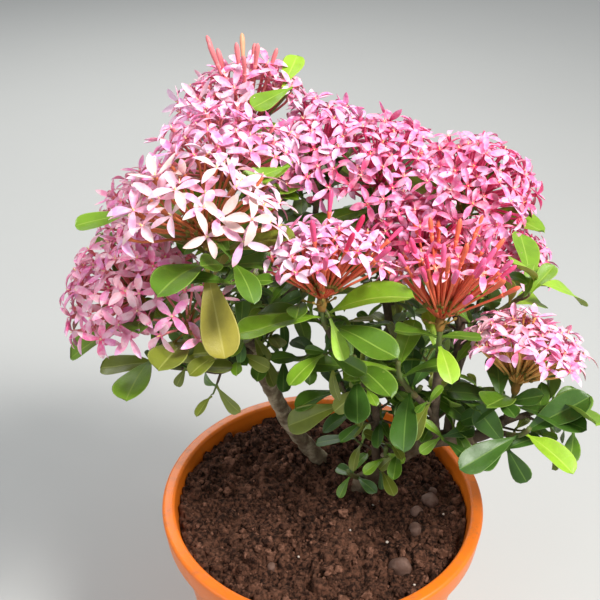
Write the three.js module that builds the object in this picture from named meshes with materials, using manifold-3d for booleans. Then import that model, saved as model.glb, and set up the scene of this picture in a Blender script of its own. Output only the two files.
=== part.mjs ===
// A dwarf ixora in a plastic nursery pot: pot, soil, two woody stems, their boughs,
// flowering shoots and leafy shoots. Millimetres, +Z up, origin at the centre of the
// pot's flat underside. +X is the plant's right and -Y its front.
import * as THREE from 'three';
import { mergeVertices } from 'three/addons/utils/BufferGeometryUtils.js';
import Module from 'manifold-3d';

const wasm = await Module();
wasm.setup();

// Clear gap kept between neighbouring pieces.
const CLEARANCE = 0.3;
// A faceted limb is grown by a little more, so that its flats keep the gap too.
const FACET_CLEARANCE = 0.36;
// Points nearer together than this are one point, and detail finer than this is left out.
const WELD = 1e-4;
const FINEST_DETAIL = 0.03;
const UP = new THREE.Vector3(0, 0, 1);
const GOLDEN_ANGLE = Math.PI * (3 - Math.sqrt(5));

// Pot: a tapered tub with a rolled lip, open underneath the lip.
const POT = {
  height: 170,
  rimRadius: 100,
  baseRadius: 70,
  wall: 2.4,
  floor: 3,
  lipWidth: 8,
  lipHeight: 16,
  skirtWall: 1.7,
  skirtDraft: 1.5,
  edgeRound: 1.2,
  segments: 36,
  drainHoles: 5,
  drainSides: 10,
  drainRadius: 4.5,
  drainCircle: 45,
};

// Soil: fills the pot to a little under the rim, level where the stems stand. Its top
// is the sum of some waves, each shorter, lower and turned against the one before.
const SOIL = {
  top: 160,
  ringStep: 9,
  segments: 36,
  waves: 5,
  waveLength: 46,
  waveHeight: 1.2,
  shortening: 0.78,
  edgeDrop: 4,
  levelRadius: 16,
};
// Pebbles that lie half sunk in the soil, as [x, y] and radius.
const PEBBLES = [
  { at: [68, 2], radius: 5 },
  { at: [59, -9], radius: 4.2 },
  { at: [57, -23], radius: 4 },
  { at: [45, -52], radius: 6 },
];
const PEBBLE_SINK = 0.55;

// Woody limbs. A route is [x, y, z] from foot to tip; radii are at foot and tip.
const LIMB = { stemSides: 8, boughSides: 6, stubSides: 5, stepLength: 16, fewestSteps: 4 };
const ROOT_FLARE = { swell: 2.6, reach: 8 };
const KNOT_REACH = 6;
const STEMS = [
  {
    name: 'stem_left',
    route: [[8, 45, 146], [0, 42, 160], [-14, 36, 185], [-30, 28, 226], [-42, 10, 282]],
    radii: [5.2, 4.3],
    knots: [{ at: 0.43, swell: 0.9 }, { at: 0.72, swell: 0.7 }, { at: 0.96, swell: 1.4 }],
    stubs: [
      { at: 0.74, toward: [0.9, -0.2, 0.35], length: 13, radius: 1.7 },
      { at: 0.93, toward: [-0.9, -0.3, -0.1], length: 11, radius: 2 },
    ],
  },
  {
    name: 'stem_right',
    route: [[15, 21, 146], [24, 17, 160], [41, 12, 183], [61, 0, 213], [89, -10, 225]],
    radii: [6.3, 4.8],
    knots: [{ at: 0.36, swell: 0.7 }, { at: 0.7, swell: 1 }],
    stubs: [{ at: 0.4, toward: [-0.3, -0.3, 0.9], length: 13, radius: 1.8 }],
  },
];
const BOUGHS = [
  { name: 'bough_left', route: [[-40, 12, 275], [-58, -8, 274], [-80, -24, 293]], radii: [3.4, 2.4] },
  { name: 'bough_front', route: [[-40, 9, 280], [-50, -22, 308], [-56, -42, 343]], radii: [3, 2.3] },
  { name: 'bough_top', route: [[-41, 12, 281], [-47, 12, 318], [-45, 26, 356]], radii: [3.4, 2.4] },
  { name: 'bough_centre_left', route: [[-39, 12, 276], [-20, 24, 304], [-8, 35, 336]], radii: [3, 2.2] },
  { name: 'bough_back', route: [[-39, 15, 273], [-37, 52, 286], [-30, 84, 306]], radii: [3, 2.2] },
  { name: 'bough_back_left', route: [[-39, 16, 270], [-66, 38, 280], [-86, 56, 296]], radii: [3, 2.2] },
  { name: 'bough_centre_front', route: [[35, 14, 175], [32, 7, 208], [29, -2, 246], [4, -34, 312]],
    radii: [2.6, 2.1] },
  { name: 'bough_centre', route: [[50, 7, 196], [45, 6, 226], [40, 10, 270], [29, 24, 340]],
    radii: [3, 2.2] },
  { name: 'bough_back_centre', route: [[44, 10, 188], [50, 44, 244], [42, 78, 288]], radii: [3, 2.2] },
  { name: 'bough_front_right', route: [[68, -3, 216], [62, -22, 250], [60, -28, 290]], radii: [3, 2.3] },
  { name: 'bough_right_up', route: [[74, -5, 219], [77, 6, 268], [77, 10, 328]], radii: [3.4, 2.3] },
  { name: 'bough_back_right', route: [[58, 2, 209], [80, 28, 236], [94, 56, 258]], radii: [3, 2.2] },
  { name: 'bough_right', route: [[87, -9, 224], [96, -14, 232], [102, -19, 246]], radii: [3.8, 2.6] },
];

// Flowering shoots: the limb each springs from and how far along, its hub (where the
// flower tubes meet), the reach from hub to flowers, and how many flowers, unopened buds
// and leaf pairs. Where a shoot differs from the rule, it has its own spread, the lean of
// its axis, the turn of its leaf pairs, the spread and lean of its buds, or a side that is
// bare, within an angle of a direction, as its flowers dropped or are still to open.
const FLOWERING = [
  { name: 'blossom_top', limb: 'bough_top', at: 1, hub: [-43, 46, 389], reach: 42, flowers: 14, buds: 5,
    pairs: 3, turn: 0.8, spread: 1.1, lean: [-0.05, 0.1] },
  { name: 'blossom_violet', limb: 'bough_top', at: 0.6, hub: [-49, -8, 388], reach: 39, flowers: 13,
    pairs: 3, turn: 0.8 },
  { name: 'blossom_pale', limb: 'bough_front', at: 1, hub: [-57, -53, 380], reach: 41, flowers: 13,
    pairs: 3, turn: 2.75, spread: 1.3, lean: [-0.05, 0.15],
    bare: { toward: [-0.2, -0.9, 0.4], within: 0.6 } },
  { name: 'blossom_left', limb: 'bough_left', at: 1, hub: [-95, -30, 334], reach: 36, flowers: 15,
    pairs: 3, turn: 2, spread: 1.4, lean: [-0.4, -0.3] },
  { name: 'blossom_left_low', limb: 'bough_left', at: 0.72, hub: [-69, -50, 330], reach: 27,
    flowers: 7, pairs: 2, turn: 2.75 },
  { name: 'blossom_centre_left', limb: 'bough_centre_left', at: 1, hub: [-5, 40, 373], reach: 40,
    flowers: 12, pairs: 3, turn: 1.2 },
  { name: 'blossom_centre', limb: 'bough_centre', at: 1, hub: [28, 25, 369], reach: 40, flowers: 13,
    pairs: 3 },
  { name: 'blossom_right', limb: 'bough_right_up', at: 1, hub: [73, 12, 367], reach: 36, flowers: 15,
    pairs: 3, spread: 1.4, lean: [0.15, -0.05] },
  { name: 'blossom_centre_right', limb: 'bough_right_up', at: 0.62, hub: [50, -6, 342], reach: 35,
    flowers: 11, pairs: 2, spread: 1, lean: [0, 0.2] },
  { name: 'blossom_front', limb: 'bough_centre_front', at: 1, hub: [-3, -44, 340], reach: 41,
    flowers: 12, buds: 4, pairs: 3, turn: 0, spread: 0.8, lean: [0, 0.3], budSpread: 0.6,
    budLean: [0.25, -0.1], bare: { toward: [0.5, -1, 0.8], within: 0.5 } },
  { name: 'blossom_front_right', limb: 'bough_front_right', at: 1, hub: [58, -34, 321], reach: 43,
    flowers: 12, buds: 11, pairs: 3, turn: 0, spread: 0.85, lean: [0.05, 0.55], budSpread: 0.65,
    budLean: [0.15, -0.1], bare: { toward: [0.25, -1, 0.9], within: 0.6 } },
  { name: 'blossom_right_low', limb: 'bough_right', at: 1, hub: [105, -23, 271], reach: 41,
    flowers: 13, pairs: 2, turn: 1.2, spread: 0.95, lean: [0.18, 0.32],
    bare: { toward: [0, -1, 0.3], within: 0.8 } },
  { name: 'blossom_back_left', limb: 'bough_back_left', at: 1, hub: [-96, 66, 322], reach: 38,
    flowers: 11, pairs: 3 },
  { name: 'blossom_back', limb: 'bough_back', at: 1, hub: [-28, 98, 334], reach: 38, flowers: 11,
    pairs: 3 },
  { name: 'blossom_back_centre', limb: 'bough_back_centre', at: 1, hub: [42, 90, 318], reach: 38,
    flowers: 11, pairs: 3 },
  { name: 'blossom_back_right', limb: 'bough_back_right', at: 1, hub: [102, 66, 290], reach: 38,
    flowers: 11, pairs: 3 },
];

// Leafy shoots: as above, with a tip in place of a hub and no flowers.
const LEAFY = [
  { name: 'foliage_left', limb: 'bough_left', at: 0.55, hub: [-94, -36, 306], pairs: 2,
    turn: 0.8, leafScale: 0.9 },
  { name: 'foliage_centre_left', limb: 'stem_left', at: 0.86, hub: [-8, -10, 288], pairs: 3,
    turn: 2.4, leafScale: 0.5 },
  { name: 'foliage_centre', limb: 'bough_centre_front', at: 0.5, hub: [14, -40, 306], pairs: 4,
    turn: 0.4, leafScale: 0.75 },
  { name: 'foliage_centre_right', limb: 'bough_front_right', at: 0.45, hub: [38, -34, 298], pairs: 4,
    turn: 0.8, leafScale: 0.75 },
  { name: 'foliage_low_centre', limb: 'bough_centre_front', at: 0.3, hub: [10, 0, 258], pairs: 3,
    turn: 0.4, leafScale: 0.65 },
  { name: 'foliage_low_right', limb: 'bough_centre', at: 0.34, hub: [54, -14, 266], pairs: 3,
    turn: 0.8, leafScale: 0.65 },
  { name: 'foliage_right_up', limb: 'bough_right_up', at: 0.5, hub: [121, 14, 322], pairs: 4,
    turn: 0.4 },
  { name: 'foliage_right', limb: 'bough_right', at: 0.7, hub: [134, -14, 258], pairs: 3, turn: 1.6 },
  { name: 'foliage_right_low', limb: 'bough_right', at: 0.35, hub: [110, -44, 261], pairs: 2, turn: 0 },
  { name: 'foliage_basal_left', limb: 'stem_right', at: 0.2, hub: [16, 6, 184], pairs: 2,
    leafScale: 0.45 },
  { name: 'foliage_basal_right', limb: 'stem_right', at: 0.36, hub: [38, -4, 212], pairs: 2,
    turn: 0.8, leafScale: 0.45 },
  { name: 'foliage_back_left', limb: 'bough_back_left', at: 0.55, hub: [-70, 92, 276], pairs: 3 },
  { name: 'foliage_back', limb: 'bough_back', at: 0.55, hub: [0, 102, 278], pairs: 4 },
  { name: 'foliage_back_right', limb: 'bough_back_right', at: 0.6, hub: [74, 88, 248], pairs: 3 },
];

// A shoot's twig. It has no leaves on the first part of its length, and its own space is
// a sphere whose heart is a share of the reach above the hub.
const TWIG = {
  rootRadius: 1.9,
  tipRadius: 1.4,
  sides: 3,
  steps: 3,
  bareShare: 0.2,
  hubRadius: 3.6,
  heartShare: 0.45,
  leafySpace: 24,
  seedStep: 7919,
};

// Leaves: length in millimetres, width and bend as shares of it, lift in radians. Their
// faces turn toward the sky.
const LEAF = {
  internode: 13,
  whorlGap: 6,
  length: [34, 46],
  width: 0.46,
  widestShare: 0.6,
  middleShare: 0.4,
  thickness: 1.3,
  stalk: 1.1,
  lift: [0, 0.65],
  bend: [0.15, 0.38],
  skyward: 0.15,
  sunward: 1,
  turnJitter: 0.3,
};

// Flowers on a dome round the hub. Every second one stands on a lower tier.
const FLOWER = {
  spread: 1.2,
  jitter: 0.15,
  lowerTier: 0.86,
  reachScale: [0.98, 1.03],
  rootRadius: 0.7,
  tubeRadius: 1,
  neckRadius: 1.3,
  neckDepth: 2.6,
  petalReach: 14.5,
  notchReach: 4.8,
  droop: 1.6,
};

// Unopened buds, which stand higher than the flowers.
const BUD = { spread: 0.55, reachScale: [1.24, 1.45], length: 13, radius: 1.9 };

// The crown leans outward from this upright axis.
const CROWN = { x: 2, y: 12, lean: 300 };
// A direction this near to upright takes its sideways directions from +X.
const NEARLY_UPRIGHT = 0.95;

const FINISHES = {
  pot: { color: 0xe8762e, roughness: 0.45, metalness: 0 },
  soil: { color: 0x5a3426, roughness: 1, metalness: 0 },
  bark: { color: 0x6e5f4e, roughness: 0.9, metalness: 0 },
  blossom: { color: 0xe878aa, roughness: 0.7, metalness: 0 },
  foliage: { color: 0x4f8f2f, roughness: 0.45, metalness: 0 },
};

const vector = (triple) => new THREE.Vector3(...triple);
const mix = (start, end, share) => start + (end - start) * share;

// Repeatable draws between two limits, the same in every run.
function seededDraws(seed) {
  let state = seed >>> 0;
  return (low, high) => {
    state = (Math.imul(state, 1664525) + 1013904223) >>> 0;
    return mix(low, high, state / 4294967296);
  };
}

// Triangles between two closed rings of any counts; a ring of one point is a tip.
function bridge(lower, upper, faces) {
  const upperCount = upper.length === 1 ? 0 : upper.length;
  let low = 0;
  let high = 0;
  while (low < lower.length || high < upperCount) {
    const lowerLeads = (low + 1) * upperCount <= (high + 1) * lower.length;
    if (high >= upperCount || (low < lower.length && lowerLeads)) {
      faces.push(lower[low], lower[(low + 1) % lower.length], upper[high % upper.length]);
      low += 1;
    } else {
      faces.push(lower[low % lower.length], upper[(high + 1) % upper.length], upper[high]);
      high += 1;
    }
  }
}

// A fan that closes a ring.
function fan(ring, faces) {
  for (let k = 2; k < ring.length; k += 1) {
    faces.push(ring[0], ring[k - 1], ring[k]);
  }
}

// A closed surface through rings of points, from the first ring to the last.
function loft(rings, closeTop = fan) {
  const faces = [];
  fan([...rings[0]].reverse(), faces);
  for (let i = 1; i < rings.length; i += 1) {
    bridge(rings[i - 1], rings[i], faces);
  }
  closeTop(rings[rings.length - 1], faces);
  return new THREE.BufferGeometry().setFromPoints(faces);
}

// A closed geometry as a solid that can be joined and cut.
function solidOf(geometry) {
  const bare = geometry.index ? geometry.toNonIndexed() : geometry.clone();
  bare.deleteAttribute('normal');
  bare.deleteAttribute('uv');
  const merged = mergeVertices(bare, WELD);
  const corners = merged.index.array;
  const kept = [];
  for (let i = 0; i < corners.length; i += 3) {
    const [a, b, c] = [corners[i], corners[i + 1], corners[i + 2]];
    if (a !== b && b !== c && c !== a) {
      kept.push(a, b, c);
    }
  }
  return new wasm.Manifold(new wasm.Mesh({
    numProp: 3,
    vertProperties: new Float32Array(merged.attributes.position.array),
    triVerts: new Uint32Array(kept),
  }));
}

// The largest body of a solid, so that sealed hollows and loose scraps are left out.
function mainBody(solid) {
  const bodies = solid.simplify(FINEST_DETAIL).decompose();
  return bodies.reduce((best, body) => (body.volume() > best.volume() ? body : best));
}

// A named mesh of a solid in one of the finishes.
function meshOf(name, solid, finish) {
  const result = mainBody(solid).getMesh();
  const geometry = new THREE.BufferGeometry();
  geometry.setAttribute('position', new THREE.BufferAttribute(result.vertProperties, 3));
  geometry.setIndex(new THREE.BufferAttribute(result.triVerts, 1));
  geometry.computeVertexNormals();
  const mesh = new THREE.Mesh(geometry, new THREE.MeshStandardMaterial(FINISHES[finish]));
  mesh.name = name;
  return mesh;
}

// Rings of a tube along a curve, each square to it; growth widens and lengthens it.
function tubeRings(curve, sides, steps, radiusAt, growth = 0) {
  const frames = curve.computeFrenetFrames(steps, false);
  const rings = [];
  for (let i = 0; i <= steps; i += 1) {
    const share = i / steps;
    const centre = curve.getPointAt(share);
    if (i === 0) {
      centre.addScaledVector(frames.tangents[i], -growth);
    }
    if (i === steps) {
      centre.addScaledVector(frames.tangents[i], growth);
    }
    const ring = [];
    for (let k = 0; k < sides; k += 1) {
      const angle = (2 * Math.PI * k) / sides;
      const radius = radiusAt(share) + growth;
      ring.push(centre.clone()
        .addScaledVector(frames.normals[i], Math.cos(angle) * radius)
        .addScaledVector(frames.binormals[i], Math.sin(angle) * radius));
    }
    rings.push(ring);
  }
  return rings;
}

// A solid of revolution about Z from [radius, height] pairs that start and end on the axis.
function turned(profile, segments) {
  const points = profile.map(([radius, height]) => new THREE.Vector2(radius, height));
  return new THREE.LatheGeometry(points, segments).rotateX(Math.PI / 2);
}

// The pot's inner radius at a height.
function innerRadius(height) {
  const top = POT.rimRadius - POT.lipWidth;
  return mix(POT.baseRadius - POT.wall, top, (height - POT.floor) / (POT.height - POT.floor));
}

// Pot with its rolled lip and drain holes.
function potSolid() {
  const { height, rimRadius, baseRadius, wall, floor, edgeRound } = POT;
  const skirtFoot = height - POT.lipHeight;
  const lipUnder = height - wall;
  const outerAtLip = innerRadius(lipUnder) + wall;
  const profile = [
    [0, 0],
    [baseRadius - edgeRound, 0],
    [baseRadius, edgeRound],
    [outerAtLip, lipUnder],
    [rimRadius - POT.skirtWall, lipUnder],
    [rimRadius - POT.skirtDraft - POT.skirtWall, skirtFoot],
    [rimRadius - POT.skirtDraft, skirtFoot],
    [rimRadius, height - edgeRound],
    [rimRadius - edgeRound, height],
    [rimRadius - POT.lipWidth + edgeRound, height],
    [rimRadius - POT.lipWidth, height - edgeRound],
    [baseRadius - wall, floor],
    [0, floor],
  ];
  let solid = solidOf(turned(profile, POT.segments));
  for (let i = 0; i < POT.drainHoles; i += 1) {
    const angle = (2 * Math.PI * (i + 0.5)) / POT.drainHoles;
    const hole = new THREE.CylinderGeometry(POT.drainRadius, POT.drainRadius, floor * 4, POT.drainSides);
    hole.rotateX(Math.PI / 2);
    hole.translate(POT.drainCircle * Math.cos(angle), POT.drainCircle * Math.sin(angle), 0);
    solid = solid.subtract(solidOf(hole));
  }
  return solid;
}

// Height of the soil's lumps at a place; nothing near a stem's foot.
function soilLump(x, y) {
  const feet = STEMS.map((stem) => vector(stem.route[1]));
  const away = Math.min(...feet.map((foot) => Math.hypot(foot.x - x, foot.y - y)));
  const fade = THREE.MathUtils.smoothstep(away, SOIL.levelRadius, SOIL.levelRadius * 2);
  let height = 0;
  for (let wave = 0; wave < SOIL.waves; wave += 1) {
    const scale = SOIL.shortening ** wave;
    const turn = wave * GOLDEN_ANGLE;
    const along = x * Math.cos(turn) + y * Math.sin(turn);
    const phase = (2 * Math.PI * along) / (SOIL.waveLength * scale) + wave * wave;
    height += SOIL.waveHeight * scale * Math.sin(phase);
  }
  return fade * height;
}

// Soil body with a lumpy top.
function soilSolid() {
  const foot = POT.floor + CLEARANCE;
  const shoulder = SOIL.top - SOIL.edgeDrop;
  const profile = [
    [0, foot],
    [innerRadius(foot) - FACET_CLEARANCE, foot],
    [innerRadius(shoulder) - FACET_CLEARANCE, shoulder],
  ];
  const rings = Math.floor(innerRadius(SOIL.top) / SOIL.ringStep);
  for (let ring = rings; ring >= 0; ring -= 1) {
    profile.push([ring * SOIL.ringStep, SOIL.top]);
  }
  const geometry = turned(profile, SOIL.segments);
  const position = geometry.attributes.position;
  for (let i = 0; i < position.count; i += 1) {
    if (position.getZ(i) > shoulder + CLEARANCE) {
      position.setZ(i, SOIL.top + soilLump(position.getX(i), position.getY(i)));
    }
  }
  return PEBBLES.reduce((soil, pebble) => soil.add(pebbleSolid(pebble)), solidOf(geometry));
}

// A rounded pebble, sunk in the soil's top.
function pebbleSolid({ at: [x, y], radius }) {
  const pebble = new THREE.IcosahedronGeometry(radius, 1);
  pebble.translate(x, y, SOIL.top + soilLump(x, y) + radius * (1 - 2 * PEBBLE_SINK));
  return solidOf(pebble);
}

// Everything above the soil where the stems stand, to cut them flat at ground level.
function aboveGround() {
  const size = 4 * POT.rimRadius;
  const block = new THREE.BoxGeometry(size, size, size);
  block.translate(0, 0, SOIL.top + CLEARANCE + size / 2);
  return solidOf(block);
}

// A limb: its curve, its own solid, and the same solid grown by the clear gap.
function limbOf(spec, sides) {
  const curve = new THREE.CatmullRomCurve3(spec.route.map(vector), false, 'centripetal');
  const length = curve.getLength();
  const steps = Math.max(LIMB.fewestSteps, Math.round(length / LIMB.stepLength));
  const isStem = sides === LIMB.stemSides;
  const radiusAt = (share) => {
    let radius = mix(spec.radii[0], spec.radii[1], share);
    if (isStem) {
      radius += ROOT_FLARE.swell * Math.exp(-(share * length) / (2 * ROOT_FLARE.reach));
      for (const knot of spec.knots) {
        const away = ((share - knot.at) * length) / KNOT_REACH;
        radius += knot.swell * Math.exp(-away * away);
      }
    }
    return radius;
  };
  const shape = (growth) => {
    let solid = solidOf(loft(tubeRings(curve, sides, steps, radiusAt, growth)));
    for (const stub of spec.stubs ?? []) {
      const start = curve.getPointAt(stub.at);
      const end = start.clone().addScaledVector(vector(stub.toward).normalize(), stub.length);
      const line = new THREE.LineCurve3(start, end);
      const rings = tubeRings(line, LIMB.stubSides, 1, () => stub.radius, growth);
      solid = solid.add(solidOf(loft(rings)));
    }
    return solid;
  };
  return { name: spec.name, curve, solid: shape(0), grown: shape(FACET_CLEARANCE) };
}

// All limbs, each cut clear of those before it.
function buildLimbs() {
  const ground = aboveGround();
  const limbs = [];
  for (const spec of STEMS) {
    const limb = limbOf(spec, LIMB.stemSides);
    limb.solid = limb.solid.intersect(ground);
    limbs.push(limb);
  }
  for (const spec of BOUGHS) {
    const limb = limbOf(spec, LIMB.boughSides);
    for (const earlier of limbs) {
      limb.solid = limb.solid.subtract(earlier.grown);
    }
    limb.solid = mainBody(limb.solid);
    limbs.push(limb);
  }
  return limbs;
}

// Two directions square to a given one.
function squareTo(direction) {
  const reference = Math.abs(direction.z) > NEARLY_UPRIGHT ? new THREE.Vector3(1, 0, 0) : UP;
  const side = new THREE.Vector3().crossVectors(reference, direction).normalize();
  return [side, new THREE.Vector3().crossVectors(direction, side)];
}

// The way a shoot's top faces: up, and outward from the middle of the crown or by its own lean.
function topAxis(hub, lean) {
  const outward = [(hub.x - CROWN.x) / CROWN.lean, (hub.y - CROWN.y) / CROWN.lean];
  return vector([...(lean ?? outward), 1]).normalize();
}

// Growth of one shoot by a seeded rule: its twig, leaves in crossed pairs, and flowers.
function growShoot(spec, seed, limbs) {
  const draw = seededDraws(seed);
  const limb = limbs.find((candidate) => candidate.name === spec.limb);
  const hub = vector(spec.hub);
  const axis = topAxis(hub, spec.lean);
  const along = limb.curve.getTangentAt(spec.at);
  const root = limb.curve.getPointAt(spec.at);
  if (spec.at === 1) {
    root.addScaledVector(along, CLEARANCE);
  }
  const pull = root.distanceTo(hub) / 3;
  const twig = new THREE.CubicBezierCurve3(
    root,
    root.clone().addScaledVector(along, pull),
    hub.clone().addScaledVector(axis, -pull),
    hub,
  );
  return {
    ...spec,
    hub,
    axis,
    twig,
    heart: hub.clone().addScaledVector(axis, TWIG.heartShare * (spec.reach ?? 0)),
    radius: spec.reach ?? TWIG.leafySpace,
    leaves: growLeaves(spec, twig, draw),
    flowers: growFlowers(spec, hub, axis, draw),
    buds: growBuds(spec, hub, draw),
  };
}

// Leaves in opposite pairs, each pair a quarter turn from the last, spreading more lower down.
function growLeaves(spec, twig, draw) {
  const leaves = [];
  const length = twig.getLength();
  const drawn = draw(0, Math.PI);
  let turn = spec.turn ?? drawn;
  for (let pair = 0; pair < spec.pairs; pair += 1) {
    const below = LEAF.whorlGap * Math.min(pair + 1, 2) + LEAF.internode * Math.max(0, pair - 1);
    const share = 1 - below / length;
    turn += Math.PI / 2;
    if (share > TWIG.bareShare) {
      const base = twig.getPointAt(share);
      const rise = twig.getTangentAt(share);
      const [side, across] = squareTo(rise);
      for (const half of [0, Math.PI]) {
        const angle = turn + half + draw(-LEAF.turnJitter, LEAF.turnJitter);
        const lift = draw(...LEAF.lift);
        const direction = side.clone().multiplyScalar(Math.cos(angle) * Math.cos(lift))
          .addScaledVector(across, Math.sin(angle) * Math.cos(lift))
          .addScaledVector(rise, Math.sin(lift))
          .addScaledVector(UP, LEAF.skyward)
          .normalize();
        const toward = rise.clone().addScaledVector(UP, LEAF.sunward);
        const face = toward.addScaledVector(direction, -toward.dot(direction)).normalize();
        const size = draw(...LEAF.length) * (spec.leafScale ?? 1);
        leaves.push({ base, direction, face, length: size, bend: draw(...LEAF.bend) });
      }
    }
  }
  return leaves;
}

// The i-th of a number of directions spread evenly over a cap round an axis.
function capDirection(axis, spread, i, count, angle) {
  const [side, across] = squareTo(axis);
  const rise = 1 - (1 - Math.cos(spread)) * ((i + 0.5) / count);
  const level = Math.sqrt(1 - rise * rise);
  return axis.clone().multiplyScalar(rise)
    .addScaledVector(side, Math.cos(angle) * level)
    .addScaledVector(across, Math.sin(angle) * level);
}

// Whether a direction out of the hub lies on the head's bare side.
function isBare(spec, direction) {
  return spec.bare !== undefined && vector(spec.bare.toward).angleTo(direction) < spec.bare.within;
}

// Flowers spread evenly over a dome round the hub, each turned by its own angle.
function growFlowers(spec, hub, axis, draw) {
  const flowers = [];
  const start = draw(0, 2 * Math.PI);
  for (let i = 0; i < (spec.flowers ?? 0); i += 1) {
    const angle = start + i * GOLDEN_ANGLE + draw(-FLOWER.jitter, FLOWER.jitter);
    const direction = capDirection(axis, spec.spread ?? FLOWER.spread, i, spec.flowers, angle);
    const roll = draw(0, Math.PI / 2);
    const tier = i % 2 === 0 ? 1 : FLOWER.lowerTier;
    const reach = spec.reach * tier * draw(...FLOWER.reachScale);
    if (!isBare(spec, direction)) {
      flowers.push({ hub, direction, roll, reach });
    }
  }
  return flowers;
}

// Unopened buds that stand out of the dome, round its axis or an axis of their own.
function growBuds(spec, hub, draw) {
  const buds = [];
  const axis = topAxis(hub, spec.budLean ?? spec.lean);
  const spread = spec.budSpread ?? BUD.spread;
  const start = draw(0, 2 * Math.PI);
  for (let i = 0; i < (spec.buds ?? 0); i += 1) {
    const direction = capDirection(axis, spread, i, spec.buds, start + i * GOLDEN_ANGLE);
    buds.push({ hub, direction, roll: 0, reach: spec.reach * draw(...BUD.reachScale) });
  }
  return buds;
}

// A leaf: widest past its middle, keeled beneath, bending down to a point.
function leafSolid(leaf) {
  const across = new THREE.Vector3().crossVectors(leaf.face, leaf.direction);
  const at = (share, width, depth) => leaf.base.clone()
    .addScaledVector(leaf.direction, share * leaf.length)
    .addScaledVector(leaf.face, -leaf.bend * share * share * leaf.length - depth)
    .addScaledVector(across, width);
  const section = (share, width, depth) => [
    at(share, width / 2, 0),
    at(share, -width / 2, 0),
    at(share, 0, depth),
  ];
  const rings = [
    section(0, 2 * LEAF.stalk, LEAF.stalk),
    section(LEAF.widestShare, leaf.length * LEAF.width, LEAF.thickness),
    [at(1, 0, 0)],
  ];
  return solidOf(loft(rings));
}

// A point by height along a flower's tube, distance from its axis and angle round it.
function tubePoint(flower, height, reach, angle) {
  const [side, across] = squareTo(flower.direction);
  return flower.hub.clone()
    .addScaledVector(flower.direction, height)
    .addScaledVector(side, reach * Math.cos(angle + flower.roll))
    .addScaledVector(across, reach * Math.sin(angle + flower.roll));
}

// A three-sided ring round a flower's tube.
function tubeRing(flower, height, reach) {
  return [0, 1, 2].map((k) => tubePoint(flower, height, reach, (k * 2 * Math.PI) / 3));
}

// A bud: a slender tube that swells a little and closes in a point.
function budSolid(bud) {
  const rings = [
    tubeRing(bud, FLOWER.tubeRadius, FLOWER.rootRadius),
    tubeRing(bud, bud.reach - BUD.length, FLOWER.tubeRadius),
    tubeRing(bud, bud.reach - BUD.length / 2, BUD.radius),
    [tubePoint(bud, bud.reach, 0, 0)],
  ];
  return solidOf(loft(rings));
}

// A flower: a slender tube that opens into four pointed petals in a cross.
function flowerSolid(flower) {
  const petals = [];
  for (let k = 0; k < 4; k += 1) {
    const angle = (k * Math.PI) / 2;
    petals.push(tubePoint(flower, flower.reach - FLOWER.droop, FLOWER.petalReach, angle));
    petals.push(tubePoint(flower, flower.reach, FLOWER.notchReach, angle + Math.PI / 4));
  }
  const rings = [
    tubeRing(flower, FLOWER.tubeRadius, FLOWER.rootRadius),
    tubeRing(flower, flower.reach - FLOWER.neckDepth, FLOWER.neckRadius),
    petals,
  ];
  return solidOf(loft(rings, closePetals));
}

// The face of a flower: one triangle for each petal and two for its throat.
function closePetals(outline, faces) {
  for (let k = 0; k < outline.length; k += 2) {
    faces.push(outline[(k + outline.length - 1) % outline.length], outline[k], outline[k + 1]);
  }
  fan([outline[1], outline[3], outline[5], outline[7]], faces);
}

// The shoot's twig, with a small hub where the flower tubes meet.
function twigSolid(shoot) {
  const radiusAt = (share) => mix(TWIG.rootRadius, TWIG.tipRadius, share);
  const twig = solidOf(loft(tubeRings(shoot.twig, TWIG.sides, TWIG.steps, radiusAt)));
  if (shoot.flowers.length === 0) {
    return twig;
  }
  const hub = new THREE.OctahedronGeometry(TWIG.hubRadius, 0);
  hub.translate(...shoot.hub);
  return twig.add(solidOf(hub));
}

// Whether a point lies in a shoot's own space: no other shoot's sphere is nearer.
function inOwnSpace(point, shoot, shoots) {
  const depth = (other) => other.heart.distanceTo(point) - other.radius;
  return shoots.every((other) => depth(shoot) <= depth(other));
}

function boxesMeet(first, second) {
  const [a, b] = [first.boundingBox(), second.boundingBox()];
  return [0, 1, 2].every((k) => a.min[k] - CLEARANCE < b.max[k] && b.min[k] - CLEARANCE < a.max[k]);
}

// Whether a solid keeps the clear gap to every solid in a list.
function keepsClear(solid, others) {
  const near = others.filter((other) => boxesMeet(solid, other));
  return near.every((other) => solid.minGap(other, 2 * CLEARANCE) >= CLEARANCE);
}

// Starts each shoot's list of pieces with its twig, cut clear of the limbs.
function addTwigs(shoots, limbs) {
  for (const shoot of shoots) {
    const solid = limbs.reduce((rest, limb) => rest.subtract(limb.grown), twigSolid(shoot));
    shoot.pieces = [mainBody(solid)];
  }
  for (const shoot of shoots) {
    const others = shoots.filter((other) => other !== shoot);
    if (!keepsClear(shoot.pieces[0], others.map((other) => other.pieces[0]))) {
      throw new Error(`${shoot.name}'s twig touches another shoot`);
    }
  }
}

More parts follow.
